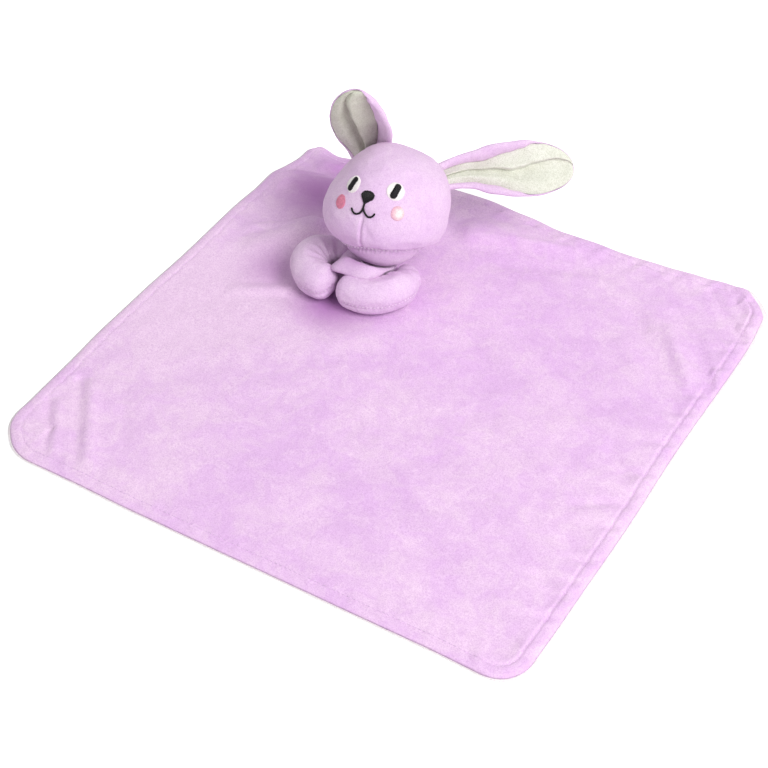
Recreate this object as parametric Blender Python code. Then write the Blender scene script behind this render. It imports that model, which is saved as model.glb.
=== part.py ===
"""A comfort blanket with a stuffed bunny's head, ears and arms sewn to it, in metres, +Z up.

The blanket lies flat with its underside at z = 0 and its centre at the origin. The bunny sits
behind the centre and faces -Y, with its face lifted and turned a little to its left (+X).
Left and right are the bunny's own.
"""

import math

import bmesh
import bpy
from mathutils import Matrix, Vector

# Blanket: two plush plies, sewn right sides together, turned and topstitched
BLANKET_SIDE = 0.350
CORNER_RADIUS = 0.033
BACK_PLY = 0.0018
TOP_PLY = 0.0018
TOPSTITCH_INSET = 0.009
TOPSTITCH_THREAD = 0.0009
FOLD_HEIGHT = 0.013
FOLD_WIDTH = 0.016

# Head: a slightly flattened ball of stuffing in a sewn cover
HEAD_X, HEAD_Y, HEAD_Z = -0.050, 0.078, 0.058
HEAD_RADIUS = 0.0398
HEAD_HALF_HEIGHT = 0.0362
HEAD_FABRIC = 0.0016
HEAD_YAW = math.radians(9)
HEAD_TILT = math.radians(27)
CROWN_SEAM_BACK = 0.0165
NECK_RING_RADIUS = 0.0255
NECK_PIVOT_DROP = 0.012
NECK_THREAD = 0.0008
NECK_WADDING = 0.002
NECK_WADDING_ANGLE = math.radians(20)

# Chest: the short stuffed body that the head is sewn to
CHEST_X, CHEST_Y = -0.054, 0.066
CHEST_HALF_WIDTH = 0.0155
CHEST_DEPTH = 0.015
CHEST_HEIGHT = 0.032
CHEST_FABRIC = 0.0014

# Arms: two curved stuffed tubes that lie on the blanket
SHOULDER_RADIUS = 0.0088
ARM_RADIUS = 0.0125
ARM_FABRIC = 0.0014
RIGHT_ARM_LENGTH = 0.0468
RIGHT_ARM_HEADING = math.radians(-158)
RIGHT_ARM_TURN = math.radians(160)
LEFT_ARM_LENGTH = 0.046
LEFT_ARM_HEADING = math.radians(-62)
LEFT_ARM_TURN = math.radians(-125)

# Ears: a lavender leaf and a cream lining, folded at the root
EAR_LENGTH = 0.0755
EAR_STUB = 0.0022
EAR_HALF_WIDTH = 0.0205
EAR_ROOT_HALF_WIDTH = 0.0115
EAR_MARGIN = 0.0055
EAR_TIP_MARGIN = 0.0012
EAR_OUTER = 0.0018
EAR_LINING = 0.0018
EAR_ROOT_FOLD = math.radians(130)

# Embroidered face
EYE_RADIUS = 0.0056
PUPIL_LENGTH = 0.0082
PUPIL_WIDTH = 0.0035
NOSE_WIDTH = 0.0094
NOSE_HEIGHT = 0.0072
CHEEK_WIDTH = 0.0088
CHEEK_HEIGHT = 0.0090
EMBROIDERY = 0.0005
NOSE_PUFF = 0.0009
MOUTH_CURL = 0.0075
MOUTH_THREAD = 0.0010

# Clearance between sewn pieces that touch on the real toy, and the distance at which the
# points of one piece are joined
SEAM_GAP = 0.0003
WELD = 0.0000003

# Face layout: azimuth and elevation on the head, in radians, from straight ahead
EYE_PLACE = (math.radians(22), math.radians(20))
NOSE_PLACE = (0, math.radians(14))
CHEEK_PLACE = (math.radians(28.5), math.radians(3))
MOUTH_PLACE = (0, math.radians(7))

# Folds of the blanket. Each is a crest from a start to an end, given as shares of half the side,
# with its height there as shares of FOLD_HEIGHT and its width as a share of FOLD_WIDTH.
FOLD_SHARES = (
    ((-0.50, 0.77), (-1.00, 0.69), 1.00, 0.30, 1.15),
    ((-0.64, 0.50), (-0.78, 0.33), 0.75, 0.25, 0.95),
    ((-0.80, 0.88), (-0.98, 0.98), 0.22, 0.10, 1.30),
    ((-0.10, 0.78), (0.30, 0.95), 0.40, 0.15, 1.20),
    ((-0.86, -0.80), (-0.74, -0.98), 0.30, 0.30, 0.80),
    ((-0.92, -0.62), (-0.60, -0.97), 0.28, 0.22, 0.80),
    ((0.80, 0.96), (0.97, 0.76), 0.30, 0.30, 0.85),
    ((0.70, 0.74), (0.97, 0.46), 0.26, 0.20, 0.85),
)

# How the corner behind the ears is drawn in towards the head, in shares of the corner radius
DRAWN_IN_SHARE = 0.2
DRAWN_REACH_SHARE = 0.30

# Rows of the chest: its height, how far its front reaches and its width, as shares of
# CHEST_HEIGHT, CHEST_DEPTH and CHEST_HALF_WIDTH
CHEST_ROW_SHARES = (
    (0.00, 1.03, 1.00),
    (0.22, 1.05, 1.00),
    (0.42, 1.13, 1.00),
    (0.60, 1.28, 1.05),
    (0.75, 1.62, 1.20),
    (0.88, 2.05, 1.38),
    (1.00, 2.18, 1.42),
)

# Thickness of an arm along its length, as shares of the way to the full radius
ARM_SWELL_SHARES = ((0.0, 0.0), (0.14, 0.5), (0.3, 0.92), (0.6, 1.0), (1.0, 0.96))
PAW_CAP_SHARE = 0.75
ARM_SEAM_SHARE = 0.62

# Shape of the embroidered mouth's curls and of the nose's corners
CURL_DROP_SHARE = 0.55
NOSE_CORNER_SHARE = 0.18

# Where the ears are sewn on: shares of the head to the side, to the back and up
EAR_ROOT_SHARES = (0.60, 0.68, 0.42)
EAR_WIDEST_SHARE = 0.60
EAR_BEND_SHARE = 0.20
EAR_ROW_SHARES = (0, 0.05, 0.11, 0.18, 0.27, 0.37, 0.48, 0.59, 0.7, 0.8, 0.88, 0.94, 0.98, 1)

# How far each half of an ear is folded over along its length, as shares of EAR_ROOT_FOLD
EAR_FOLD_SHARES = ((0.0, 1.0), (0.12, 0.64), (0.3, 0.45), (0.7, 0.36), (1.0, 0.25))

# Where each ear points past its bend, and the way that its open side faces
LEFT_EAR_REACH = (0.86, 0.50, -0.10)
LEFT_EAR_OPENS = (0.38, -0.62, 0.68)
RIGHT_EAR_REACH = (0.10, -0.47, 0.88)
RIGHT_EAR_OPENS = (0.42, -0.86, -0.25)

LAVENDER = (0.75, 0.54, 0.78)
CREAM = (0.86, 0.84, 0.76)
WADDING = (0.90, 0.90, 0.88)
BLACK = (0.01, 0.01, 0.01)
PINK = (0.72, 0.24, 0.34)
MAUVE_THREAD = (0.66, 0.45, 0.70)


def clear_scene():
    for obj in list(bpy.data.objects):
        bpy.data.objects.remove(obj, do_unlink=True)


def material(name, color, roughness):
    """One Principled material with a plain colour."""
    made = bpy.data.materials.new(name)
    made.use_nodes = True
    shader = made.node_tree.nodes["Principled BSDF"]
    shader.inputs["Base Color"].default_value = (*color, 1)
    shader.inputs["Roughness"].default_value = roughness
    shader.inputs["Metallic"].default_value = 0
    return made


def finish(name, bm, color, roughness=0.9):
    """Turns a bmesh into a named object with outward faces and its own material."""
    bmesh.ops.recalc_face_normals(bm, faces=bm.faces)
    mesh = bpy.data.meshes.new(name)
    bm.to_mesh(mesh)
    bm.free()
    mesh.shade_smooth()
    mesh.set_sharp_from_angle(angle=math.radians(50))
    obj = bpy.data.objects.new(name, mesh)
    obj.data.materials.append(material(name, color, roughness))
    bpy.context.scene.collection.objects.link(obj)
    return obj


def add_sheet(bm, rows, wrap):
    """Faces of one grid of points, wrapped round if its rows are rings."""
    grid = [[bm.verts.new(point) for point in row] for row in rows]
    count = len(grid[0])
    for low, high in zip(grid, grid[1:]):
        for i in range(count if wrap else count - 1):
            j = (i + 1) % count
            bm.faces.new((low[i], low[j], high[j], high[i]))
    return grid


def slab(name, near, far, color, wrap=False):
    """A solid between two grids of points that have the same layout."""
    bm = bmesh.new()
    inner = add_sheet(bm, near, wrap)
    outer = add_sheet(bm, far, wrap)
    edges = [(inner[0], outer[0]), (inner[-1], outer[-1])]
    if not wrap:
        edges.append(([row[0] for row in inner], [row[0] for row in outer]))
        edges.append(([row[-1] for row in inner], [row[-1] for row in outer]))
    for a, b in edges:
        steps = len(a) if wrap else len(a) - 1
        for i in range(steps):
            j = (i + 1) % len(a)
            bm.faces.new((a[i], a[j], b[j], b[i]))
    bmesh.ops.remove_doubles(bm, verts=bm.verts, dist=WELD)
    return finish(name, bm, color)


def closed_tube(name, rings, color):
    """A solid through rings of points whose first and last rings have shrunk to a point."""
    bm = bmesh.new()
    add_sheet(bm, rings, True)
    bmesh.ops.remove_doubles(bm, verts=bm.verts, dist=WELD)
    return finish(name, bm, color)


def smooth_step(t):
    t = min(max(t, 0), 1)
    return t * t * (3 - 2 * t)


def read_curve(table, at):
    """The value at a place in a table of (place, value), eased between its entries."""
    for (a, first), (b, last) in zip(table, table[1:]):
        if at <= b:
            return first + (last - first) * smooth_step((at - a) / (b - a))
    return table[-1][1]


# Blanket

HALF_SIDE = BLANKET_SIDE / 2
TOP_PLY_BASE = BACK_PLY + SEAM_GAP
BLANKET_TOP = TOP_PLY_BASE + TOP_PLY
MIDDLE_CELLS = 24


def grid_lines():
    """Grid lines from one edge to the other. One of them lies under the topstitching."""
    inner = HALF_SIDE - CORNER_RADIUS
    stitched = HALF_SIDE - TOPSTITCH_INSET
    corner = [inner, (inner + stitched) / 2, stitched, HALF_SIDE]
    middle = [inner * (2 * i / MIDDLE_CELLS - 1) for i in range(1, MIDDLE_CELLS)]
    return [-x for x in reversed(corner)] + middle + corner


def round_corner(x, y):
    """Bends the grid's square corner into an arc, and its inner lines into arcs beside it."""
    inner = HALF_SIDE - CORNER_RADIUS
    past_x, past_y = abs(x) - inner, abs(y) - inner
    if past_x <= 0 or past_y <= 0:
        return x, y
    shrink = max(past_x, past_y) / math.hypot(past_x, past_y)
    return math.copysign(inner + past_x * shrink, x), math.copysign(inner + past_y * shrink, y)


def lift_at(x, y):
    """Height of the cloth's underside over the table: 0, but where it is folded up."""
    lift = 0
    for start, end, at_start, at_end, width in FOLD_SHARES:
        a, b = Vector(start) * HALF_SIDE, Vector(end) * HALF_SIDE
        along = b - a
        t = min(max((Vector((x, y)) - a).dot(along) / along.length_squared, 0), 1)
        away = (Vector((x, y)) - a - along * t).length / (width * FOLD_WIDTH)
        if away < 1:
            lift += FOLD_HEIGHT * (at_start + (at_end - at_start) * t) * (1 - away**2) ** 2
    return lift


def drawn_in(x, y):
    """Moves the corner behind the ears towards the head."""
    away = math.hypot(x + HALF_SIDE, y - HALF_SIDE) / (DRAWN_REACH_SHARE * HALF_SIDE)
    pull = CORNER_RADIUS * DRAWN_IN_SHARE * (1 - smooth_step(away))
    return x + pull * math.sqrt(0.5), y - pull * math.sqrt(0.5)


def cloth_point(x, y, over):
    """A point of the cloth, at a height over its underside."""
    x, y = round_corner(x, y)
    moved_x, moved_y = drawn_in(x, y)
    return Vector((moved_x, moved_y, lift_at(x, y) + over))


def make_blanket():
    lines = grid_lines()

    def sheet(over):
        return [[cloth_point(x, y, over) for x in lines] for y in lines]

    slab("blanket_back_ply", sheet(0), sheet(BACK_PLY), CREAM)
    slab("blanket_top_ply", sheet(TOP_PLY_BASE), sheet(BLANKET_TOP), LAVENDER)

    edge = HALF_SIDE - TOPSTITCH_INSET
    run = [x for x in lines if -edge <= x <= edge]
    route = [(x, -edge) for x in run] + [(edge, y) for y in run[1:]]
    route += [(x, edge) for x in reversed(run[:-1])] + [(-edge, y) for y in reversed(run[1:-1])]
    height = BLANKET_TOP + SEAM_GAP + TOPSTITCH_THREAD / 2
    thread_ring("edge_topstitch", [cloth_point(x, y, height) for x, y in route], TOPSTITCH_THREAD)


def thread_ring(name, route, width):
    """A closed loop of thread through the points of a route."""
    curve = bpy.data.curves.new(name, "CURVE")
    curve.dimensions = "3D"
    curve.bevel_depth = width / 2
    curve.bevel_resolution = 1
    spline = curve.splines.new("POLY")
    spline.points.add(len(route) - 1)
    for point, place in zip(spline.points, route):
        point.co = (*place, 1)
    spline.use_cyclic_u = True
    obj = bpy.data.objects.new(name, curve)
    curve.materials.append(material(name, MAUVE_THREAD, 0.6))
    bpy.context.scene.collection.objects.link(obj)


# Head, in its own frame: its centre at the origin, the face towards -Y and the neck below

HEAD_POSE = (
    Matrix.Translation((HEAD_X, HEAD_Y, HEAD_Z))
    @ Matrix.Rotation(HEAD_YAW, 4, "Z")
    @ Matrix.Rotation(-HEAD_TILT, 4, "X")
)
NECK_PIVOT = HEAD_POSE @ Vector((0, 0, -NECK_PIVOT_DROP))
NECK_AXIS = (HEAD_POSE.to_3x3() @ Vector((0, 0, 1))).normalized()
NECK_RING_Z = -HEAD_HALF_HEIGHT * math.sqrt(1 - (NECK_RING_RADIUS / HEAD_RADIUS) ** 2)
BASE_RADIUS = math.hypot(NECK_RING_RADIUS, NECK_RING_Z + NECK_PIVOT_DROP)
RING_ANGLE = math.atan2(NECK_RING_RADIUS, -NECK_RING_Z - NECK_PIVOT_DROP)
WADDING_RADIUS = BASE_RADIUS + SEAM_GAP
SOCKET_RADIUS = WADDING_RADIUS + NECK_WADDING + SEAM_GAP
HEAD_SIDES = 28
WADDING_SIDES = 14


def turned(profile, sides=HEAD_SIDES):
    """Rings of points from a profile of (radius, height) turned about Z."""
    step = 2 * math.pi / sides
    return [
        [Vector((r * math.sin(i * step), r * math.cos(i * step), z)) for i in range(sides)]
        for r, z in profile
    ]


def ball_profile(inset, steps=12):
    """The head's outline from its crown down to the neck ring."""
    top = math.asin(NECK_RING_Z / HEAD_HALF_HEIGHT)
    angles = [math.pi / 2 + (top - math.pi / 2) * i / steps for i in range(steps + 1)]
    wide, tall = HEAD_RADIUS - inset, HEAD_HALF_HEIGHT - inset
    return [(wide * math.cos(a), tall * math.sin(a)) for a in angles]


def base_profile(radius, angle, steps=5):
    """A cap round the neck pivot, from its edge down to its lowest point."""
    angles = [angle * (1 - i / steps) for i in range(steps + 1)]
    return [(radius * math.sin(a), -NECK_PIVOT_DROP - radius * math.cos(a)) for a in angles]


def head_panel(name, keep_front):
    """The part of the head's cover before or behind the crown seam."""
    bm = bmesh.new()
    add_sheet(bm, turned(ball_profile(0)), True)
    bmesh.ops.remove_doubles(bm, verts=bm.verts, dist=WELD)
    side = 1 if keep_front else -1
    seam = Vector((0, CROWN_SEAM_BACK - side * SEAM_GAP / 2, 0))
    bmesh.ops.bisect_plane(
        bm,
        geom=bm.verts[:] + bm.edges[:] + bm.faces[:],
        plane_co=seam,
        plane_no=(0, side, 0),
        clear_outer=True,
    )
    panel = finish(name, bm, LAVENDER)
    wall = panel.modifiers.new("fabric", "SOLIDIFY")
    wall.thickness = HEAD_FABRIC
    wall.offset = -1
    panel.matrix_world = HEAD_POSE


def head_point(azimuth, elevation, lift=0):
    """A point on or over the head's cover, in the head's frame."""
    way = Vector(
        (
            math.sin(azimuth) * math.cos(elevation),
            -math.cos(azimuth) * math.cos(elevation),
            math.sin(elevation),
        )
    )
    scaled = Vector((way.x / HEAD_RADIUS, way.y / HEAD_RADIUS, way.z / HEAD_HALF_HEIGHT))
    return way * (1 / scaled.length + lift)


def patch(name, place, outline, lift, thickness, color):
    """A flat patch that follows the head, with an outline given by a function of the angle."""
    sectors, circles = 18, 3

    def sheet(height):
        rows = []
        for k in range(circles + 1):
            row = []
            for i in range(sectors):
                across, up = outline(2 * math.pi * i / sectors)
                share = k / circles
                row.append(
                    head_point(
                        place[0] + across * share / (HEAD_RADIUS * math.cos(place[1])),
                        place[1] + up * share / HEAD_RADIUS,
                        height,
                    )
                )
            rows.append(row)
        return rows

    near, far = sheet(lift), sheet(lift + thickness)
    bm = bmesh.new()
    inner = add_sheet(bm, near, True)
    outer = add_sheet(bm, far, True)
    for i in range(sectors):
        j = (i + 1) % sectors
        bm.faces.new((inner[-1][i], inner[-1][j], outer[-1][j], outer[-1][i]))
    bmesh.ops.remove_doubles(bm, verts=bm.verts, dist=WELD)
    finish(name, bm, color).matrix_world = HEAD_POSE


def oval(width, height):
    return lambda angle: (width / 2 * math.cos(angle), height / 2 * math.sin(angle))


def pill(width, height):
    """An upright bar with round ends."""

    def outline(angle):
        straight = math.copysign((height - width) / 2, math.sin(angle))
        return width / 2 * math.cos(angle), width / 2 * math.sin(angle) + straight

    return outline


def rounded_triangle(width, height):
    """A broad top edge and a point below."""

    def outline(angle):
        reach = 1 - NOSE_CORNER_SHARE * math.cos(3 * (angle + math.pi / 2) + math.pi)
        return width / 2 * reach * math.cos(angle), height / 2 * reach * math.sin(angle)

    return outline


def make_face():
    pupil_lift = 2 * SEAM_GAP + EMBROIDERY
    for side, name in ((1, "left"), (-1, "right")):
        eye = (side * EYE_PLACE[0], EYE_PLACE[1])
        cheek = (side * CHEEK_PLACE[0], CHEEK_PLACE[1])
        round_patch = oval(2 * EYE_RADIUS, 2 * EYE_RADIUS)
        patch("eye_" + name + "_patch", eye, round_patch, SEAM_GAP, EMBROIDERY, CREAM)
        bar = pill(PUPIL_WIDTH, PUPIL_LENGTH)
        patch("eye_" + name + "_pupil", eye, bar, pupil_lift, EMBROIDERY, BLACK)
        blush = oval(CHEEK_WIDTH, CHEEK_HEIGHT)
        patch("cheek_" + name, cheek, blush, SEAM_GAP, EMBROIDERY, PINK)
    snout = rounded_triangle(NOSE_WIDTH, NOSE_HEIGHT)
    patch("nose", NOSE_PLACE, snout, SEAM_GAP, NOSE_PUFF, BLACK)
    make_mouth()


def make_mouth():
    """Two curls of thread that hang from below the nose."""
    steps = 8
    offsets = []
    for side in (-1, 1):
        bow = [math.pi * i / steps for i in range(steps + 1)]
        across = [side * MOUTH_CURL * (1 + math.cos(a)) / 2 for a in bow]
        points = [(x, -MOUTH_CURL * CURL_DROP_SHARE * math.sin(a)) for x, a in zip(across, bow)]
        offsets += points if side < 0 else list(reversed(points))[1:]
    height = SEAM_GAP + MOUTH_THREAD / 2
    route = [
        head_point(MOUTH_PLACE[0] + x / HEAD_RADIUS, MOUTH_PLACE[1] + y / HEAD_RADIUS, height)
        for x, y in offsets
    ]
    curve = bpy.data.curves.new("mouth", "CURVE")
    curve.dimensions = "3D"
    curve.bevel_depth = MOUTH_THREAD / 2
    curve.bevel_resolution = 1
    curve.use_fill_caps = True
    spline = curve.splines.new("POLY")
    spline.points.add(len(route) - 1)
    for point, place in zip(spline.points, route):
        point.co = (*place, 1)
    obj = bpy.data.objects.new("mouth", curve)
    curve.materials.append(material("mouth", BLACK, 0.7))
    bpy.context.scene.collection.objects.link(obj)
    obj.matrix_world = HEAD_POSE


def dish(name, inside, thickness, angle, sides, color):
    """A layer round the neck pivot, out to an angle from the neck's axis."""
    bm = bmesh.new()
    near = add_sheet(bm, turned(base_profile(inside, angle), sides), True)[0]
    far = add_sheet(bm, turned(base_profile(inside + thickness, angle), sides), True)[0]
    for i in range(sides):
        j = (i + 1) % sides
        bm.faces.new((far[i], far[j], near[j], near[i]))
    bmesh.ops.remove_doubles(bm, verts=bm.verts, dist=WELD)
    finish(name, bm, color).matrix_world = HEAD_POSE


def make_head():
    head_panel("head_face_panel", True)
    head_panel("head_back_panel", False)
    edge = RING_ANGLE - SEAM_GAP / BASE_RADIUS
    under = BASE_RADIUS - HEAD_FABRIC
    dish("head_base_panel", under, HEAD_FABRIC, edge, HEAD_SIDES, LAVENDER)

    inset = HEAD_FABRIC + 2 * SEAM_GAP
    rings = turned(ball_profile(inset) + base_profile(BASE_RADIUS - inset, RING_ANGLE)[1:])
    closed_tube("head_stuffing", rings, WADDING).matrix_world = HEAD_POSE

    reach = NECK_RING_RADIUS + SEAM_GAP + NECK_THREAD / 2
    ring = turned([(reach, NECK_RING_Z - SEAM_GAP)])[0]
    thread_ring("neck_seam_thread", [HEAD_POSE @ point for point in ring], NECK_THREAD)

    dish(
        "neck_wadding", WADDING_RADIUS, NECK_WADDING, NECK_WADDING_ANGLE, WADDING_SIDES, WADDING
    )


# Chest

CHEST_SIDES = 24
CHEST_BASE = BLANKET_TOP + SEAM_GAP


def chest_solid(name, inset, base, color=WADDING):
    """The chest's outline, a distance inside its cover. It leans out under the chin."""
    rings = []
    for up, reach, width in CHEST_ROW_SHARES:
        ring = []
        for i in range(CHEST_SIDES):
            angle = 2 * math.pi * i / CHEST_SIDES
            across = (CHEST_HALF_WIDTH * width - inset) * math.sin(angle)
            front = CHEST_DEPTH * reach if math.cos(angle) < 0 else CHEST_DEPTH
            along = (front - inset) * math.cos(angle)
            height = CHEST_BASE + min(up * CHEST_HEIGHT, CHEST_HEIGHT - inset) if up else base
            ring.append(Vector((CHEST_X + across, CHEST_Y + along, height)))
        rings.append(ring)
    bm = bmesh.new()
    grid = add_sheet(bm, rings, True)
    bm.faces.new(grid[0])
    bm.faces.new(grid[-1])
    return finish(name, bm, color)


def as_cutter(obj):
    obj.hide_render = True
    obj.display_type = "WIRE"
    return obj


def cut(obj, cutter):
    boolean = obj.modifiers.new("cut", "BOOLEAN")
    boolean.operation = "DIFFERENCE"
    boolean.object = cutter


def seat(name, radius):
    """A ball about the neck pivot that hollows out the seat of the head."""
    bm = bmesh.new()
    bmesh.ops.create_uvsphere(bm, u_segments=40, v_segments=24, radius=radius)
    ball = finish(name, bm, WADDING)
    ball.matrix_world = Matrix.Translation(NECK_PIVOT)
    return as_cutter(ball)


def make_chest():
    """A sewn cover that is open below, where it is sewn to the blanket, and its stuffing."""
    hollow = as_cutter(chest_solid("chest_hollow", CHEST_FABRIC, 0))
    cut(hollow, seat("chest_hollow_seat", SOCKET_RADIUS + CHEST_FABRIC))
    cover = chest_solid("chest_cover", 0, CHEST_BASE, LAVENDER)
    cut(cover, seat("chest_cover_seat", SOCKET_RADIUS))
    cut(cover, hollow)
    stuffing = chest_solid("chest_stuffing", CHEST_FABRIC + SEAM_GAP, CHEST_BASE)
    cut(stuffing, seat("chest_stuffing_seat", SOCKET_RADIUS + CHEST_FABRIC + SEAM_GAP))


# Arms

ARM_SIDES = 14
ARM_STEPS = 8
CAP_STEPS = 4


def arm_stations(length, inset):
    """Places along an arm, with the radius there: a round shoulder, a swell and a blunt paw."""
    shoulder = SHOULDER_RADIUS - inset
    paw = SHOULDER_RADIUS + (ARM_RADIUS - SHOULDER_RADIUS) * ARM_SWELL_SHARES[-1][1] - inset
    stations = []
    for i in range(CAP_STEPS):
        angle = math.pi / 2 * i / CAP_STEPS
        stations.append((-shoulder * math.cos(angle), shoulder * math.sin(angle)))
    for i in range(ARM_STEPS + 1):
        share = i / ARM_STEPS
        swell = read_curve(ARM_SWELL_SHARES, share)
        radius = SHOULDER_RADIUS + (ARM_RADIUS - SHOULDER_RADIUS) * swell - inset
        stations.append((length * share, radius))
    cap = PAW_CAP_SHARE * paw
    for i in range(1, CAP_STEPS + 1):
        angle = math.pi / 2 * i / CAP_STEPS
        stations.append((length + cap * math.sin(angle), paw * math.cos(angle)))
    return stations


def arm_place(start, heading, turn, length, along):
    """A point on the arm's curved centreline and the way it heads there, seen from above."""
    bend = turn / length
    inside = min(max(along, 0), length)
    now = heading + bend * inside
    x = start.x + (math.sin(now) - math.sin(heading)) / bend
    y = start.y - (math.cos(now) - math.cos(heading)) / bend
    way = Vector((math.cos(now), math.sin(now), 0))
    return Vector((x, y, 0)) + way * (along - inside), way


def arm_rings(start, heading, turn, length, inset, first, last):
    """Rings of an arm between two angles round it: 0 is outwards, and a quarter turn is up."""
    rest = BLANKET_TOP + SEAM_GAP
    steps = round(ARM_SIDES * (last - first) / (2 * math.pi))
    rings = []
    for along, radius in arm_stations(length, inset):
        place, way = arm_place(start, heading, turn, length, along)
        side = way.cross(Vector((0, 0, 1)))
        swell = read_curve(ARM_SWELL_SHARES, min(max(along / length, 0), 1))
        height = rest + SHOULDER_RADIUS + (ARM_RADIUS - SHOULDER_RADIUS) * swell
        centre = place + Vector((0, 0, height))
        ring = []
        for i in range(steps + 1 if last - first < 2 * math.pi else steps):
            angle = first + (last - first) * i / steps
            ring.append(centre + (side * math.cos(angle) + Vector((0, 0, math.sin(angle)))) * radius)
        rings.append(ring)
    return rings


def make_arm(name, start, heading, turn, length):
    seam = -math.asin(ARM_SEAM_SHARE)
    slit = SEAM_GAP / ARM_RADIUS
    spans = (
        ("top", seam + slit, math.pi - seam - slit),
        ("bottom", math.pi - seam + slit, 2 * math.pi + seam - slit),
    )
    for part, first, last in spans:
        inner = arm_rings(start, heading, turn, length, ARM_FABRIC, first, last)
        outer = arm_rings(start, heading, turn, length, 0, first, last)
        slab("arm_" + name + "_" + part + "_panel", inner, outer, LAVENDER)
    core = arm_rings(start, heading, turn, length, ARM_FABRIC + 2 * SEAM_GAP, 0, 2 * math.pi)
    closed_tube("arm_" + name + "_stuffing", core, WADDING)


def shoulder(side):
    """The shoulder's centre: beside the chest, a seam's gap from it."""
    out = CHEST_HALF_WIDTH + SEAM_GAP + SHOULDER_RADIUS
    return Vector((CHEST_X + side * out, CHEST_Y, BLANKET_TOP + SEAM_GAP + SHOULDER_RADIUS))


# Ears

EAR_STEPS = 100
EAR_COLUMNS = 10
EAR_ROOT_RING = EAR_ROOT_HALF_WIDTH / EAR_ROOT_FOLD
EAR_ROOT_BALL = EAR_ROOT_RING + 2 * SEAM_GAP + EAR_OUTER + EAR_STUB


def ear_start(side):
    """Where an ear is hinged, and the way that it leaves the head."""
    across, back, up = EAR_ROOT_SHARES
    way = Vector((side * across, back, up)).normalized()
    scaled = Vector((way.x / HEAD_RADIUS, way.y / HEAD_RADIUS, way.z / HEAD_HALF_HEIGHT))
    root = way / scaled.length
    normal = Vector((way.x / HEAD_RADIUS**2, way.y / HEAD_RADIUS**2, way.z / HEAD_HALF_HEIGHT**2))
    normal.normalize()
    pivot = HEAD_POSE @ (root + normal * (EAR_ROOT_BALL + SEAM_GAP))
    return pivot, (HEAD_POSE.to_3x3() @ normal).normalized()


def ear_frames(side, reach, opens):
    """Frames down the ear: its share, the point, the way on, across and the way it opens."""
    pivot, leaves = ear_start(side)
    reach = Vector(reach).normalized()
    opens = Vector(opens).normalized()
    frames = []
    place = pivot.copy()
    rows = {round(share * EAR_STEPS): share for share in EAR_ROW_SHARES}
    for i in range(EAR_STEPS + 1):
        way = leaves.slerp(reach, smooth_step(i / EAR_STEPS / EAR_BEND_SHARE))
        across = way.cross(opens).normalized()
        if i in rows:
            frames.append((rows[i], place.copy(), way, across, across.cross(way)))
        place += way * EAR_LENGTH / EAR_STEPS
    return frames


def ear_width(share):
    """Half the leaf's width at a share of its length."""
    if share < EAR_WIDEST_SHARE:
        swell = math.sin(math.pi / 2 * share / EAR_WIDEST_SHARE)
        return EAR_ROOT_HALF_WIDTH + (EAR_HALF_WIDTH - EAR_ROOT_HALF_WIDTH) * swell
    past = (share - EAR_WIDEST_SHARE) / (1 - EAR_WIDEST_SHARE)
    return EAR_HALF_WIDTH * math.sqrt(max(1 - past**2, 0))


def ear_sheet(frames, offset, margin=0):
    """Points of a leaf that lies at an offset outwards from the seam between its two plies."""
    rows = []
    for share, place, way, across, opens in frames:
        fold = EAR_ROOT_FOLD * read_curve(EAR_FOLD_SHARES, share)
        width = ear_width(share)
        ring = max(width, EAR_MARGIN) / fold
        kept = EAR_TIP_MARGIN + (EAR_MARGIN - EAR_TIP_MARGIN) * (1 - smooth_step(share))
        reach = max(width - margin * kept, 0) / ring
        row = []
        for i in range(EAR_COLUMNS + 1):
            angle = reach * (2 * i / EAR_COLUMNS - 1)
            side = (ring + offset) * math.sin(angle)
            depth = ring - (ring + offset) * math.cos(angle)
            point = place + across * side + opens * depth
            if share == 0:
                point -= way * math.sqrt(max(EAR_ROOT_BALL**2 - depth**2 - side**2, 0))
            row.append(point)
        rows.append(row)
    return rows


def make_ear(name, side, reach, opens):
    frames = ear_frames(side, reach, opens)
    near = SEAM_GAP
    outer = ear_sheet(frames, near), ear_sheet(frames, near + EAR_OUTER)
    slab("ear_" + name + "_outer", *outer, LAVENDER)
    lining = ear_sheet(frames[:-1], -near - EAR_LINING, 1), ear_sheet(frames[:-1], -near, 1)
    slab("ear_" + name + "_lining", *lining, CREAM)


def report_joints():
    """Prints the places that the joints turn about."""

    def line(name, pivot, axis):
        print(name, [round(c, 5) for c in pivot], [round(c, 4) for c in axis])

    line("head turn", NECK_PIVOT, NECK_AXIS)
    line("head nod", NECK_PIVOT, HEAD_POSE.to_3x3() @ Vector((1, 0, 0)))
    ears = ((1, LEFT_EAR_REACH, LEFT_EAR_OPENS), (-1, RIGHT_EAR_REACH, RIGHT_EAR_OPENS))
    for side, reach, opens in ears:
        line("ear", ear_start(side)[0], Vector(reach).cross(Vector(opens)).normalized())
        line("arm", shoulder(side), (0, 0, side))


def hang_on_joint(joint, pivot, prefixes):
    """Parents a moving body's pieces to an empty on its joint's axis."""
    empty = bpy.data.objects.new(joint, None)
    bpy.context.scene.collection.objects.link(empty)
    empty.location = pivot
    bpy.context.view_layer.update()
    for obj in list(bpy.data.objects):
        if obj.name.startswith(prefixes) and obj is not empty:
            obj.parent = empty
            obj.matrix_parent_inverse = empty.matrix_world.inverted()


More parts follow.
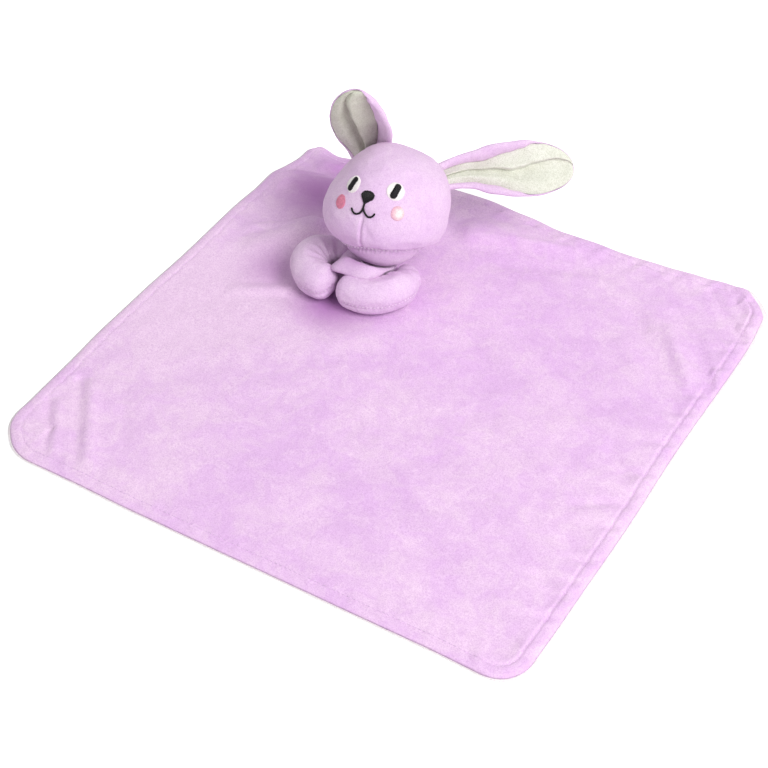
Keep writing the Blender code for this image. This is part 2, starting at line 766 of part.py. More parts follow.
clear_scene()
make_blanket()
make_chest()
make_arm("right", shoulder(-1), RIGHT_ARM_HEADING, RIGHT_ARM_TURN, RIGHT_ARM_LENGTH)
make_arm("left", shoulder(1), LEFT_ARM_HEADING, LEFT_ARM_TURN, LEFT_ARM_LENGTH)
make_head()
make_face()
make_ear("left", 1, LEFT_EAR_REACH, LEFT_EAR_OPENS)
make_ear("right", -1, RIGHT_EAR_REACH, RIGHT_EAR_OPENS)
hang_on_joint("head_joint", NECK_PIVOT, ("head_", "neck_", "eye_", "cheek_", "nose", "mouth"))
for way, side in ((1, "left"), (-1, "right")):
    hang_on_joint("joint_of_ear_" + side, ear_start(way)[0], "ear_" + side)
    hang_on_joint("joint_of_arm_" + side, shoulder(way), "arm_" + side)
report_joints()
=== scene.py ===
# %% [markdown]
# # A plush comfort blanket with a bunny's head
#
# The toy is a square of short-pile plush, 350 mm a side, with a stuffed head, two ears and two
# arms sewn on behind its middle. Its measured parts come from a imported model, and this lesson
# dresses them: each cover becomes a soft surface with seams, stitches and pile, in the place
# that the measured part holds. All lengths are in metres.

# %% Load the measured parts
import math

import bmesh
import bpy
import numpy as np
from mathutils import Matrix, Vector
from mathutils.bvhtree import BVHTree


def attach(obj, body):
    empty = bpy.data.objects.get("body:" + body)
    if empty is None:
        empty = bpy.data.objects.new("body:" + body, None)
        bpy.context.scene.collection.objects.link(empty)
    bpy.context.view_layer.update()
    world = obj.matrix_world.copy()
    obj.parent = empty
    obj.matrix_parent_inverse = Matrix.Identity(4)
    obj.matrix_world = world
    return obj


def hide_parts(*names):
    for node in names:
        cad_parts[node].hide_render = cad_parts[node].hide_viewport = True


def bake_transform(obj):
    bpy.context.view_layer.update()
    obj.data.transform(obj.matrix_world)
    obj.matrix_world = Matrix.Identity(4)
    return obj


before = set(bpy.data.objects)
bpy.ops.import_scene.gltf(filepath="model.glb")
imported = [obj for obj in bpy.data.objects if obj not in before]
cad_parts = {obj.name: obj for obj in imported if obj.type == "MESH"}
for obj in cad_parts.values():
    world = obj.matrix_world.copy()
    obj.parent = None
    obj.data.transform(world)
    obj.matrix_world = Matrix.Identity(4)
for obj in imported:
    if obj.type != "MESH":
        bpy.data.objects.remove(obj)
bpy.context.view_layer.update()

MM = 0.001

# %% [markdown]
# ## Small helpers
#
# Every surface below is worked out as arrays of points, because a plush toy is all smooth
# curves. These helpers turn such arrays into meshes, ease one value into another, and add the
# faint unevenness that stuffing gives. The unevenness is a sum of sine waves with a fixed
# seed, so that it is the same in each run.


# %% Smooth steps, curves and soft lumps
def ease(t):
    t = np.clip(t, 0, 1)
    return t * t * (3 - 2 * t)


def read_curve(table, at):
    """The value at a place in a table of (place, value), eased between its entries."""
    at = np.asarray(at, float)
    value = np.full(at.shape, table[-1][1], float)
    for (a, first), (b, last) in reversed(list(zip(table, table[1:]))):
        value = np.where(at <= b, first + (last - first) * ease((at - a) / (b - a)), value)
    return value


def lumps(points, size, seed):
    """A smooth unevenness from -1 to 1 over points, with swells of about the given size."""
    chance = np.random.default_rng(seed)
    total = np.zeros(len(points))
    for _ in range(9):
        way = chance.normal(size=3)
        way *= 2 * math.pi / size / np.linalg.norm(way) * chance.uniform(0.6, 1.4)
        total += np.sin(points @ way + chance.uniform(0, 2 * math.pi))
    return np.clip(total / 4, -1, 1)


def mound(away):
    """1 in the middle of a bump, falling smoothly to 0 at a distance of 1 and beyond."""
    return (1 - np.minimum(np.abs(away), 1) ** 2) ** 2


def way_of(azimuth, elevation):
    """The way at an azimuth from straight ahead, which is -Y, and an elevation."""
    flat = math.cos(elevation)
    return Vector((math.sin(azimuth) * flat, -math.cos(azimuth) * flat, math.sin(elevation)))


# %% Meshes from points
def add_object(name, data):
    obj = bpy.data.objects.new(name, data)
    bpy.context.scene.collection.objects.link(obj)
    return obj


def make_object(name, points, faces, finish, uv=None):
    """A smooth-shaded mesh object with one material, and a UV map given point by point."""
    mesh = bpy.data.meshes.new(name)
    mesh.from_pydata([tuple(p) for p in points], [], [tuple(f) for f in faces])
    if uv is not None:
        layer = mesh.uv_layers.new(name="UVMap")
        corners = np.empty(len(mesh.loops), int)
        mesh.loops.foreach_get("vertex_index", corners)
        layer.data.foreach_set("uv", np.asarray(uv, np.float32)[corners].ravel())
    mesh.materials.append(finish)
    mesh.shade_smooth()
    return add_object(name, mesh)


def grid_faces(rows, columns, wrap=False):
    """Quads over a grid of points that are numbered row by row."""
    faces = []
    for a in range(0, (rows - 1) * columns, columns):
        for c in range(columns if wrap else columns - 1):
            d = (c + 1) % columns
            faces.append((a + c, a + d, a + columns + d, a + columns + c))
    return faces


def closed_faces(rows, columns):
    """The faces of two grids, one over the other, and of the wall between their rims."""
    count = rows * columns
    faces = grid_faces(rows, columns)
    faces += [tuple(count + i for i in face[::-1]) for face in faces]
    rim = list(range(columns)) + list(range(2 * columns - 1, count, columns))
    rim += list(range(count - 2, count - columns - 1, -1))
    rim += list(range(count - 2 * columns, 0, -columns))
    return faces + [(a, a + count, b + count, b) for a, b in zip(rim, rim[1:] + rim[:1])]


def tidy(obj, weld=0.02 * MM):
    """Merges doubled points and turns every face outwards."""
    bm = bmesh.new()
    bm.from_mesh(obj.data)
    bmesh.ops.remove_doubles(bm, verts=bm.verts, dist=weld)
    bmesh.ops.recalc_face_normals(bm, faces=bm.faces)
    bm.to_mesh(obj.data)
    bm.free()
    return obj


def coordinates(obj):
    points = np.empty(len(obj.data.vertices) * 3)
    obj.data.vertices.foreach_get("co", points)
    return points.reshape(-1, 3)


def set_coordinates(obj, points):
    obj.data.vertices.foreach_set("co", np.asarray(points, float).ravel())
    obj.data.update()


def normals(obj):
    found = np.empty(len(obj.data.vertices) * 3)
    obj.data.vertex_normals.foreach_get("vector", found)
    return found.reshape(-1, 3)


def apply_modifiers(obj):
    """Replaces an object's mesh by the mesh that its modifiers make, and removes them."""
    graph = bpy.context.evaluated_depsgraph_get()
    mesh = bpy.data.meshes.new_from_object(obj.evaluated_get(graph))
    obj.modifiers.clear()
    obj.data = mesh
    return obj


def subdivide(obj, levels=1):
    step = obj.modifiers.new("smooth", "SUBSURF")
    step.levels = step.render_levels = levels
    return apply_modifiers(obj)


# %% [markdown]
# ## The nap of plush
#
# Short plush is a knitted cloth with a dense pile of about 1.5 mm. The pile leans, and where a
# hand has brushed it another way it takes the light differently, so the cloth shows soft paler
# and deeper patches a few millimetres to a few centimetres across. Up close it is grainy.
# Real fibres on a whole blanket would be millions of strands, so the nap is a shader instead:
# one node group makes the patches and the grain, and each plush material uses it with its own
# colours. Sheen, on the shader itself, gives the pale bloom at grazing angles. The helpers
# that come first make one node each, so that the trees stay short.


# %% Nodes by name
def socket(group, name, kind, way="INPUT", value=None):
    made = group.interface.new_socket(name=name, in_out=way, socket_type=kind)
    if value is not None:
        made.default_value = value


def node(tree, kind, inputs=(), **settings):
    """A node with its settings, and its inputs linked or set by name."""
    made = tree.nodes.new(kind)
    for key, value in settings.items():
        setattr(made, key, value)
    for place, value in dict(inputs).items():
        if isinstance(value, bpy.types.NodeSocket):
            tree.links.new(value, made.inputs[place])
        else:
            made.inputs[place].default_value = value
    return made


def noise(tree, place, scale, detail, rough=0.55, distortion=0.0):
    values = {"Vector": place, "Scale": scale, "Detail": detail, "Roughness": rough}
    values["Distortion"] = distortion
    return node(tree, "ShaderNodeTexNoise", values).outputs["Fac"]


def stretch(tree, value, low, high):
    """Spreads the middle of a noise's range over 0 to 1."""
    values = {"Value": value, "From Min": low, "From Max": high}
    made = node(tree, "ShaderNodeMapRange", values, interpolation_type="SMOOTHSTEP")
    return made.outputs["Result"]


def calculate(tree, operation, a, b):
    return node(tree, "ShaderNodeMath", {0: a, 1: b}, operation=operation).outputs[0]


def blend_colors(tree, share, a, b):
    a, b = ((*color, 1) if isinstance(color, tuple) else color for color in (a, b))
    return node(tree, "ShaderNodeMix", {0: share, 6: a, 7: b}, data_type="RGBA").outputs[2]


def object_place(tree):
    return tree.nodes.new("ShaderNodeTexCoord").outputs["Object"]


# %% A node group for the nap
GRAIN_SHARE = 0.38
TUFT_SHARE = 0.16


def nap_group():
    group = bpy.data.node_groups.new("plush nap", "ShaderNodeTree")
    socket(group, "Place", "NodeSocketVector")
    for name in ("Brushed", "Body", "Deep"):
        socket(group, name, "NodeSocketColor")
    for name, value in (("Patches", 1.0), ("Painted Sheen", 0.0), ("Painted Shade", 0.0)):
        socket(group, name, "NodeSocketFloat", value=value)
    socket(group, "Color", "NodeSocketColor", "OUTPUT")
    socket(group, "Height", "NodeSocketFloat", "OUTPUT")
    ins = group.nodes.new("NodeGroupInput").outputs
    outs = group.nodes.new("NodeGroupOutput").inputs
    # Each noise has its scale to the metre, its detail, roughness and distortion
    broad = stretch(group, noise(group, ins["Place"], 17, 3, 0.6, 0.4), 0.40, 0.62)
    patch = stretch(group, noise(group, ins["Place"], 75, 4, 0.65, 0.8), 0.38, 0.64)
    grain = noise(group, ins["Place"], 1400, 2, 0.7)
    tuft = stretch(group, noise(group, ins["Place"], 420, 3, 0.7, 0.5), 0.3, 0.7)
    lean = calculate(group, "MULTIPLY", calculate(group, "ADD", broad, patch), 0.5)
    lean = calculate(group, "MULTIPLY", lean, ins["Patches"])
    # Painted sheen: placed areas lean further to the paler brushed colour, where the cloth looks
    # lighter in the light
    lean = calculate(group, "ADD", lean, ins["Painted Sheen"])
    color = blend_colors(group, lean, ins["Body"], ins["Brushed"])
    # Painted shade: placed areas are mixed towards the deep colour, where shade falls
    color = blend_colors(group, ins["Painted Shade"], color, ins["Deep"])
    for height, share in ((stretch(group, grain, 0.28, 0.62), GRAIN_SHARE), (tuft, TUFT_SHARE)):
        shade = calculate(group, "MULTIPLY", calculate(group, "SUBTRACT", 1, height), share)
        color = blend_colors(group, shade, color, ins["Deep"])
    group.links.new(color, outs["Color"])
    rough = calculate(group, "MULTIPLY", grain, 0.55)
    clump = calculate(group, "MULTIPLY", tuft, 0.45)
    group.links.new(calculate(group, "ADD", rough, clump), outs["Height"])
    return group


NAP = nap_group()
print("nap group:", len(NAP.nodes), "nodes")


# %% [markdown]
# ## Plush and thread materials
#
# Plush is a rough Principled surface with sheen, and a Bump node that reads the nap's height.
# Embroidery thread is smoother and lies in parallel strands, so its material has a little
# gloss and a fine twist. Colours were judged against the photograph: the lavender
# lies between a pinkish and a violet tint, which is why "brushed" and "body" differ in hue.


# %% Plush materials
PLUSH_ROUGHNESS = 0.92
NAP_STRENGTH = 0.55
NAP_HEIGHT = 0.35 * MM


def surface(name, roughness, sheen=0.0, sheen_tint=(1, 1, 1), gloss=0.25):
    """A new material, its node tree and its shader."""
    made = bpy.data.materials.new(name)
    made.use_nodes = True
    shader = made.node_tree.nodes["Principled BSDF"]
    values = {"Roughness": roughness, "Specular IOR Level": gloss, "Sheen Weight": sheen}
    values.update({"Sheen Tint": (*sheen_tint, 1), "Sheen Roughness": 0.5})
    for key, value in values.items():
        shader.inputs[key].default_value = value
    return made, made.node_tree, shader


def raise_surface(tree, shader, height, strength, distance):
    values = {"Height": height, "Strength": strength, "Distance": distance}
    made = node(tree, "ShaderNodeBump", values)
    tree.links.new(made.outputs["Normal"], shader.inputs["Normal"])


def near_place(tree, place, centre, reach, most):
    """A soft round mask on a piece: most at a centre and 0 beyond its reach."""
    away = node(tree, "ShaderNodeVectorMath", {0: place, 1: centre}, operation="DISTANCE")
    inside = calculate(tree, "SUBTRACT", reach, away.outputs["Value"])
    return calculate(tree, "MULTIPLY", stretch(tree, inside, 0, reach), most)


def plush(name, brushed, body, deep, patches=1.0, sheen=0.35, painted_sheen=(), pressed_seams_and_painted_shade=()):
    """Plush in three colours. Painted sheen turns soft round areas towards the paler brushed
    colour, and painted shade turns others towards the deep colour. Each area is given by its
    centre, its reach and its share in the middle."""
    made, tree, shader = surface(name, PLUSH_ROUGHNESS, sheen, brushed)
    place = object_place(tree)
    values = {"Place": place, "Patches": patches}
    for key, color in (("Brushed", brushed), ("Body", body), ("Deep", deep)):
        values[key] = (*color, 1)
    # Round masks for the areas of painted sheen and of painted shade, joined by their maximum
    for key, marks in (("Painted Sheen", painted_sheen), ("Painted Shade", pressed_seams_and_painted_shade)):
        masks = [near_place(tree, place, *mark) for mark in marks]
        while len(masks) > 1:
            masks.append(calculate(tree, "MAXIMUM", masks.pop(), masks.pop()))
        if masks:
            values[key] = masks[0]
    nap = node(tree, "ShaderNodeGroup", values, node_tree=NAP)
    tree.links.new(nap.outputs["Color"], shader.inputs["Base Color"])
    raise_surface(tree, shader, nap.outputs["Height"], NAP_STRENGTH, NAP_HEIGHT)
    return made


# Painted sheen lightens the left side and the front left. Painted shade darkens the fold behind
# and left of the head, a spot near the back left corner, the cloth in front of the arms and the
# cloth left of them.
LAVENDER = plush(
    "lavender_plush", (0.86, 0.65, 0.84), (0.77, 0.51, 0.81), (0.43, 0.19, 0.47),
    painted_sheen=(((-0.14, -0.01, 0), 0.13, 1.1), ((-0.10, -0.13, 0), 0.10, 0.3)),
    pressed_seams_and_painted_shade=(((-0.129, 0.119, 0.01), 0.048, 0.82), ((-0.128, 0.151, 0.01), 0.030, 0.75),
             ((-0.062, 0.032, 0), 0.042, 1.0), ((-0.112, 0.043, 0), 0.036, 0.60)),
)
# Painted shade darkens the top front of the chest, under the chin.
LAVENDER_SOFT = plush(
    "lavender_plush_stuffed", (0.785, 0.624, 0.770), (0.73, 0.530, 0.750), (0.46, 0.24, 0.49), 0.8,
    pressed_seams_and_painted_shade=(((-0.054, 0.047, 0.034), 0.022, 0.55),),
)
# Painted shade darkens the lining of the bunny's right ear towards the olive deep colour.
CREAM = plush(
    "cream_plush", (0.81, 0.815, 0.745), (0.72, 0.725, 0.645), (0.30, 0.31, 0.20), 0.8, 0.1,
    pressed_seams_and_painted_shade=(((-0.068, 0.084, 0.112), 0.060, 0.32),),
)
PALE_BACK = plush("pale_back_plush", (0.93, 0.89, 0.90), (0.90, 0.84, 0.86), (0.6, 0.5, 0.55), 0.6)


# %% Thread materials
TWIST = 900
THREAD_RELIEF = 0.1 * MM


def thread(name, color, roughness=0.6, sheen=0.15, darkest=0.8):
    """Sewing or embroidery thread, with fine twisted strands."""
    made, tree, shader = surface(name, roughness, sheen, color)
    place = object_place(tree)
    share = stretch(tree, noise(tree, place, TWIST, 2, 0.6), 0.35, 0.65)
    darker = tuple(darkest * c for c in color)
    tree.links.new(blend_colors(tree, share, darker, color), shader.inputs["Base Color"])
    strands = noise(tree, place, 2.7 * TWIST, 1, 0.5)
    raise_surface(tree, shader, strands, 0.3, THREAD_RELIEF)
    return made


BLACK_THREAD = thread("black_thread", (0.012, 0.010, 0.012), 0.42, 0.05)
WHITE_THREAD = thread("white_thread", (0.86, 0.82, 0.81), darkest=0.93)
PINK_THREAD = thread("pink_thread", (0.74, 0.25, 0.37))
SEAM_THREAD = thread("seam_thread", (0.80, 0.58, 0.83))
PALE_SEAM_THREAD = thread("pale_seam_thread", (0.90, 0.76, 0.90))

# %% [markdown]
# ## Stitches with Geometry Nodes
#
# A seam is one short stitch repeated along a line, so a node tree makes it: the line is
# resampled at the stitch's pitch, a plump grain of thread is put on each point and turned
# along the line, and the grains are made real. The same tree sews the blanket's edge, the
# neck and the arms, with its own sizes each time. Satin embroidery is the other case: many
# parallel strands side by side, each a thin tube along its own line.


# %% The running stitch tree
def new_tree(name, inputs):
    tree = bpy.data.node_groups.new(name, "GeometryNodeTree")
    socket(tree, "Geometry", "NodeSocketGeometry")
    for label, kind, value in inputs:
        socket(tree, label, kind, value=value)
    socket(tree, "Thread", "NodeSocketMaterial")
    socket(tree, "Geometry", "NodeSocketGeometry", "OUTPUT")
    return tree, tree.nodes.new("NodeGroupInput").outputs


def end_tree(tree, geometry, finish):
    """Ends a tree: real meshes, shaded smooth, with their thread."""
    real = node(tree, "GeometryNodeRealizeInstances", {"Geometry": geometry})
    values = {"Geometry": real.outputs[0], "Shade Smooth": True}
    shade = node(tree, "GeometryNodeSetShadeSmooth", values)
    values = {"Geometry": shade.outputs[0], "Material": finish}
    done = node(tree, "GeometryNodeSetMaterial", values)
    tree.links.new(done.outputs[0], tree.nodes.new("NodeGroupOutput").inputs["Geometry"])
    return tree


def running_stitch_tree():
    sizes = (("Pitch", 3.2 * MM), ("Stitch Length", 2.5 * MM), ("Thread Width", 0.6 * MM))
    tree, ins = new_tree("running stitch", [(k, "NodeSocketFloat", v) for k, v in sizes])
    line = node(tree, "GeometryNodeMeshToCurve", {"Mesh": ins["Geometry"]}).outputs["Curve"]
    values = {"Curve": line, "Length": ins["Pitch"]}
    points = node(tree, "GeometryNodeResampleCurve", values, mode="LENGTH")
    along = node(tree, "GeometryNodeInputTangent").outputs[0]
    turn = node(tree, "FunctionNodeAlignRotationToVector", {"Vector": along}, axis="Z")
    values = {"Segments": 7, "Rings": 6, "Radius": 0.5}
    grain = node(tree, "GeometryNodeMeshUVSphere", values)
    wide = ins["Thread Width"]
    size = node(tree, "ShaderNodeCombineXYZ", {"X": wide, "Y": wide, "Z": ins["Stitch Length"]})
    values = {"Points": points.outputs["Curve"], "Instance": grain.outputs["Mesh"]}
    values.update({"Rotation": turn.outputs["Rotation"], "Scale": size.outputs[0]})
    placed = node(tree, "GeometryNodeInstanceOnPoints", values)
    return end_tree(tree, placed.outputs[0], ins["Thread"])


RUNNING_STITCH = running_stitch_tree()


# %% The satin stitch tree
def satin_tree():
    sizes = (("Strand Width", "NodeSocketFloat", 0.4 * MM), ("Sides", "NodeSocketInt", 6))
    tree, ins = new_tree("satin strands", sizes)
    line = node(tree, "GeometryNodeMeshToCurve", {"Mesh": ins["Geometry"]})
    half = calculate(tree, "MULTIPLY", ins["Strand Width"], 0.5)
    values = {"Resolution": ins["Sides"], "Radius": half}
    ring = node(tree, "GeometryNodeCurvePrimitiveCircle", values)
    values = {"Curve": line.outputs["Curve"], "Profile Curve": ring.outputs[0]}
    tube = node(tree, "GeometryNodeCurveToMesh", {**values, "Fill Caps": True})
    return end_tree(tree, tube.outputs[0], ins["Thread"])


SATIN = satin_tree()


# %% Sewing with the trees
def lines_object(name, lines, closed=False):
    """A mesh of loose edges along one or more lines of points."""
    points, edges = [], []
    for line in lines:
        first = len(points)
        points += [tuple(p) for p in line]
        edges += [(i, i + 1) for i in range(first, len(points) - 1)]
        if closed:
            edges.append((len(points) - 1, first))
    mesh = bpy.data.meshes.new(name)
    mesh.from_pydata(points, edges, [])
    return add_object(name, mesh)


def run_tree(obj, tree, values):
    """Gives an object a Geometry Nodes tree with its inputs set, and keeps what it makes."""
    modifier = obj.modifiers.new(tree.name, "NODES")
    modifier.node_group = tree
    for item in tree.interface.items_tree:
        if item.item_type == "SOCKET" and item.in_out == "INPUT" and item.name in values:
            modifier[item.identifier] = values[item.name]
    return apply_modifiers(obj)


def sew(name, lines, material, pitch, length, width, closed=False):
    values = {"Pitch": pitch, "Stitch Length": length, "Thread Width": width, "Thread": material}
    return run_tree(lines_object(name, lines, closed), RUNNING_STITCH, values)


# %% [markdown]
# ## The blanket
#
# Two plies are sewn right sides together, turned, and stitched again all round, 7.6 mm in. So
# the edge is a soft roll, the stitching lies in a groove, and small puckers run inwards from
# it. The blanket lies flat on the table but for a few folds: two ridges run out from behind
# the head to the far edge, and each outer corner has a crease or two.
#
# A cloth simulation could drape such a sheet, but here it lies still on a table and the folds
# are known, so they are raised one by one: each is a smooth crest between two points.

# %% Blanket sizes
SIDE = 0.350
HALF = SIDE / 2
STITCH_INSET = 7.6 * MM
PLY_MIDDLE = 2.0 * MM  # where the two plies meet
BLANKET_TOP = 3.9 * MM
FOLD_HEIGHT = 13 * MM
FOLD_WIDTH = 16 * MM

# Folds of both plies. Start and end in shares of half the side, then the height at each in
# shares of the fold height, and the width in shares of the fold width
FOLD_SHARES = (
    ((-0.50, 0.77), (-1.00, 0.69), 1.00, 0.30, 1.15),
    ((-0.64, 0.50), (-0.78, 0.33), 0.75, 0.25, 0.95),
    ((-0.80, 0.88), (-0.96, 0.97), 0.30, 0.26, 0.90),
    ((-0.88, 0.66), (-0.62, 0.60), -0.34, -0.30, 0.60),
    ((-0.62, 0.93), (-0.82, 0.84), -0.30, -0.20, 0.55),
    ((-0.10, 0.78), (0.30, 0.95), 0.40, 0.15, 1.20),
    ((-0.86, -0.62), (-0.64, -0.90), 0.10, 0.10, 0.70),
    ((0.90, 0.99), (0.99, 0.86), 0.14, 0.10, 0.60),
    ((0.68, 0.66), (0.92, 0.42), 0.12, 0.10, 0.70),
)

# Finer creases of the top ply alone, in millimetres: where each starts and ends, its height,
# which is less than 0 for a furrow, and its width
CREASES = (
    (-132, 147, -172, 121, 2.5, 4.5), (-118, 90, -156, 66, 2.5, 5.5),
    (-120, 62, -102, 30, -2, 9), (-93, 28, -128, 8, 1.875, 7),
    (-90, 12, -60, 0, 1.125, 9), (-20, 128, 55, 164, 1.5, 6),
    (0, 112, 80, 150, -1.125, 8), (62, 140, 120, 120, 1, 9),
    (-159, -104, -113, -166, -2.375, 4.5), (-148, -104, -108, -160, 1.625, 5.5),
    (-165, -128, -135, -168, -2, 3.6), (-158, -126, -131, -163, 1.5, 4),
    (-128, -100, -96, -140, -0.625, 7), (136, 162, 174, 122, -2.5, 5),
    (144, 114, 124, 132, -3.125, 5.5), (144, 116, 172, 74, -3.125, 5),
    (129, 112, 161, 70, 2.5, 6.5), (116, 106, 94, 126, -1.625, 6.5),
    (130, 70, 104, 90, 1.375, 8), (160, -14, 140, 4, -1.375, 6),
    (167, -30, 140, -50, -1.375, 5), (164, -80, 146, -72, -1.375, 6),
    (164, -112, 146, -100, -1.375, 6), (162, -142, 138, -136, 1, 7),
    (120, -30, 60, 10, 0.875, 10), (100, -110, 20, -60, 0.75, 12),
)


# %% The shape of the laid cloth
def past_crest(x, y, start, end, width):
    """How near each point is to a crest, from 1 on it to 0 beside it, and how far along."""
    a, b = np.array(start), np.array(end)
    along = b - a
    t = np.clip(((x - a[0]) * along[0] + (y - a[1]) * along[1]) / (along @ along), 0, 1)
    return mound(np.hypot(x - a[0] - along[0] * t, y - a[1] - along[1] * t) / width), t


def fold_lift(x, y):
    """How far the folds lift both plies. Towards the front left their outer ends lie low."""
    lift = np.zeros(x.shape)
    for start, end, at_start, at_end, width in FOLD_SHARES:
        ends = np.array(start) * HALF, np.array(end) * HALF
        near, t = past_crest(x, y, *ends, width * FOLD_WIDTH)
        lift += FOLD_HEIGHT * (at_start + (at_end - at_start) * t) * near
    held = 1 - ease((0.02 - x - y) / 0.12)
    lift = lift * (held + (1 - held) * 0.75 * ease(edge_distance(x, y) / (16 * MM)))
    return np.maximum(lift, 0)


def crease_lift(x, y):
    """Each crease starts round, is highest on its way and runs out to nothing."""
    lift = np.zeros(x.shape)
    for x0, y0, x1, y1, height, width in CREASES:
        near, t = past_crest(x, y, (x0 * MM, y0 * MM), (x1 * MM, y1 * MM), width * MM)
        along = np.sin(math.pi * np.clip(0.15 + 0.85 * t, 0, 1)) ** 0.5
        lift += height * MM * near * along
    return lift


# How far each side is drawn in, in millimetres: place along the side, and distance
DRAWN_IN = {
    "back": ((-170, 3.0), (-145, 7.0), (-120, 6.0), (-95, 2.5), (-66, 3.0), (-30, 1.5),
             (0, 4.0), (30, 7.6), (50, 8.2), (75, 7.6), (100, 6.2), (125, 4.0), (145, 0.8),
             (170, 0.0)),
    "left": ((-160, 0.5), (-130, 2.6), (-100, 2.2), (-60, 0.8), (-20, 1.0), (30, 2.2),
             (80, 1.8), (120, 3.8), (160, 5.5)),
    "front": ((-170, 0.5), (-120, 2.0), (-60, 0.8), (0, 0.4), (100, 0.0), (170, 0.0)),
    "right": ((-170, 0.0), (-120, -2.0), (-50, -2.6), (20, -1.4), (110, -2.6), (150, -2.2),
              (170, -1.0)),
}
DRAWN_REACH = 60 * MM

# Each corner's radius, and how far it is pulled inwards, in millimetres
CORNERS = {(-1, -1): (34, 2.6), (1, -1): (20, -2.0), (1, 1): (24, 4.2), (-1, 1): (10, 8.5)}
CORNER_REACH = 0.32 * HALF


def laid_outline(x, y, grow=0.0, peek=0.0):
    """Rounds the square's corners, draws its sides in a little, and pushes the edge out.
    peek pushes the right-hand side out alone, where the back ply rolls into view."""
    out_x, out_y = np.array(x, float), np.array(y, float)
    for (side_x, side_y), (radius, pulled_in) in CORNERS.items():
        inner = HALF - radius * MM
        past_x, past_y = x * side_x - inner, y * side_y - inner
        corner = (past_x > 0) & (past_y > 0)
        reach = np.maximum(np.hypot(past_x, past_y), 1e-9)
        shrink = np.maximum(past_x, past_y) / reach
        out_x = np.where(corner, side_x * (inner + past_x * shrink), out_x)
        out_y = np.where(corner, side_y * (inner + past_y * shrink), out_y)
        away = np.hypot(x * side_x - HALF, y * side_y - HALF) / CORNER_REACH
        pull = pulled_in * MM * (1 - ease(away)) * math.sqrt(0.5)
        out_x, out_y = out_x - side_x * pull, out_y - side_y * pull

    def drawn(side, along, inset):
        return MM * read_curve(DRAWN_IN[side], along / MM) * (1 - ease(inset / DRAWN_REACH))

    out_y = out_y - drawn("back", x, HALF - y) + drawn("front", x, HALF + y)
    out_x = out_x + drawn("left", y, HALF + x) - drawn("right", y, HALF - x)
    out_x = out_x + peek * ease((x - 0.12) / 0.05) * (0.55 + 0.45 * ease((y - 0.05) / 0.1))
    return out_x * (1 + grow / HALF), out_y * (1 + grow / HALF)


# %% Height of the two plies
PLY_GAP = 0.1 * MM
LEAST_PLY = 0.3 * MM
GROOVE_WIDTH = 0.75 * MM

# The gathers beside the stitching: pitch in millimetres, strength and phase
PUCKER_WAVES = ((15, 1.0, 0.0), (9.3, 0.8, 2.1), (26, 0.7, 0.7))
PUCKER_HEIGHT = 0.34 * MM


def edge_distance(x, y):
    return HALF - np.maximum(np.abs(x), np.abs(y))


def round_of_edge(inset, reach=4.2 * MM):
    """From 0 at the sewn edge to 1 where the roll is full, as a quarter circle."""
    return np.sqrt(1 - (1 - np.clip(inset / reach, 0, 1)) ** 2)


def puckers(x, y, inset):
    """Small gathers that run inwards from the stitching."""
    side = np.abs(x) > np.abs(y)
    along = np.where(side, y, x) + np.where(side, np.sign(x), 3 + np.sign(y)) * 0.9
    slant = (along + 0.35 * inset) * 2 * math.pi / MM
    wave = sum(k * np.sin(slant / pitch + phase) for pitch, k, phase in PUCKER_WAVES)
    fade = np.exp(-np.abs(inset - STITCH_INSET) / (9 * MM)) * ease(inset / (3 * MM))
    off_corner = ease((HALF - np.minimum(np.abs(x), np.abs(y))) / (30 * MM) - 0.2)
    return PUCKER_HEIGHT * wave * fade * off_corner


def pulled(x, y):
    """How tightly the edge is stitched: most on the right, and least at the front left."""
    right, back, left = (ease((d - 0.13) / 0.03) for d in (x, y, -x))
    return np.clip(0.06 + 0.75 * right + 0.45 * back * ease((x + 0.1) / 0.1) + 0.40 * left, 0, 1)


def sweeps(x, y):
    """Long soft wrinkles that run from the head towards the right front edge."""
    along, across = x * 0.93 - y * 0.37, x * 0.37 + y * 0.93
    fan = across + 5 * MM * np.sin(along * 17 + 1.0)
    place = np.stack([(along * 0.22).ravel(), fan.ravel(), 0 * x.ravel()], axis=1)
    wrinkles = 0.80 * lumps(place, 30 * MM, 8) + 0.34 * lumps(place, 12 * MM, 9)
    return MM * ease((x + y * 0.4 + 0.10) / 0.12) * wrinkles.reshape(x.shape)


def top_height(x, y):
    """Height of the upper face of the top ply."""
    inset, tight = edge_distance(x, y), pulled(x, y)
    thick = BLANKET_TOP - PLY_GAP + 0.4 * MM * tight - PLY_MIDDLE
    height = PLY_MIDDLE + thick * round_of_edge(inset, 5 * MM)
    height -= 0.4 * MM * tight * ease((inset - STITCH_INSET) / (6 * MM))
    height -= 1.0 * MM * tight * np.exp(-(((inset - STITCH_INSET) / GROOVE_WIDTH) ** 2))
    height += puckers(x, y, inset) * (0.35 + 1.5 * tight)
    place = np.stack([x.ravel(), y.ravel(), 0 * x.ravel()], axis=1)
    swell = 0.30 * lumps(place, 34 * MM, 3) + 0.16 * lumps(place, 13 * MM, 5)
    inside = ease((inset - STITCH_INSET) / (8 * MM))
    height += (MM * swell.reshape(x.shape) + sweeps(x, y)) * inside
    height += fold_lift(x, y) + crease_lift(x, y) * ease(inset / (4 * MM))
    return np.maximum(height, under_top(x, y) + LEAST_PLY * round_of_edge(inset))


def under_top(x, y):
    return fold_lift(x, y) + PLY_MIDDLE + PLY_GAP * round_of_edge(edge_distance(x, y))


def over_back(x, y):
    return fold_lift(x, y) + PLY_MIDDLE - PLY_GAP


def under_back(x, y):
    edge = 1 - round_of_edge(edge_distance(x, y))
    return fold_lift(x, y) + (PLY_MIDDLE - 2 * PLY_GAP) * edge


# %% The top ply, the back ply and the edge stitching
FINE_EDGE = 15 * MM


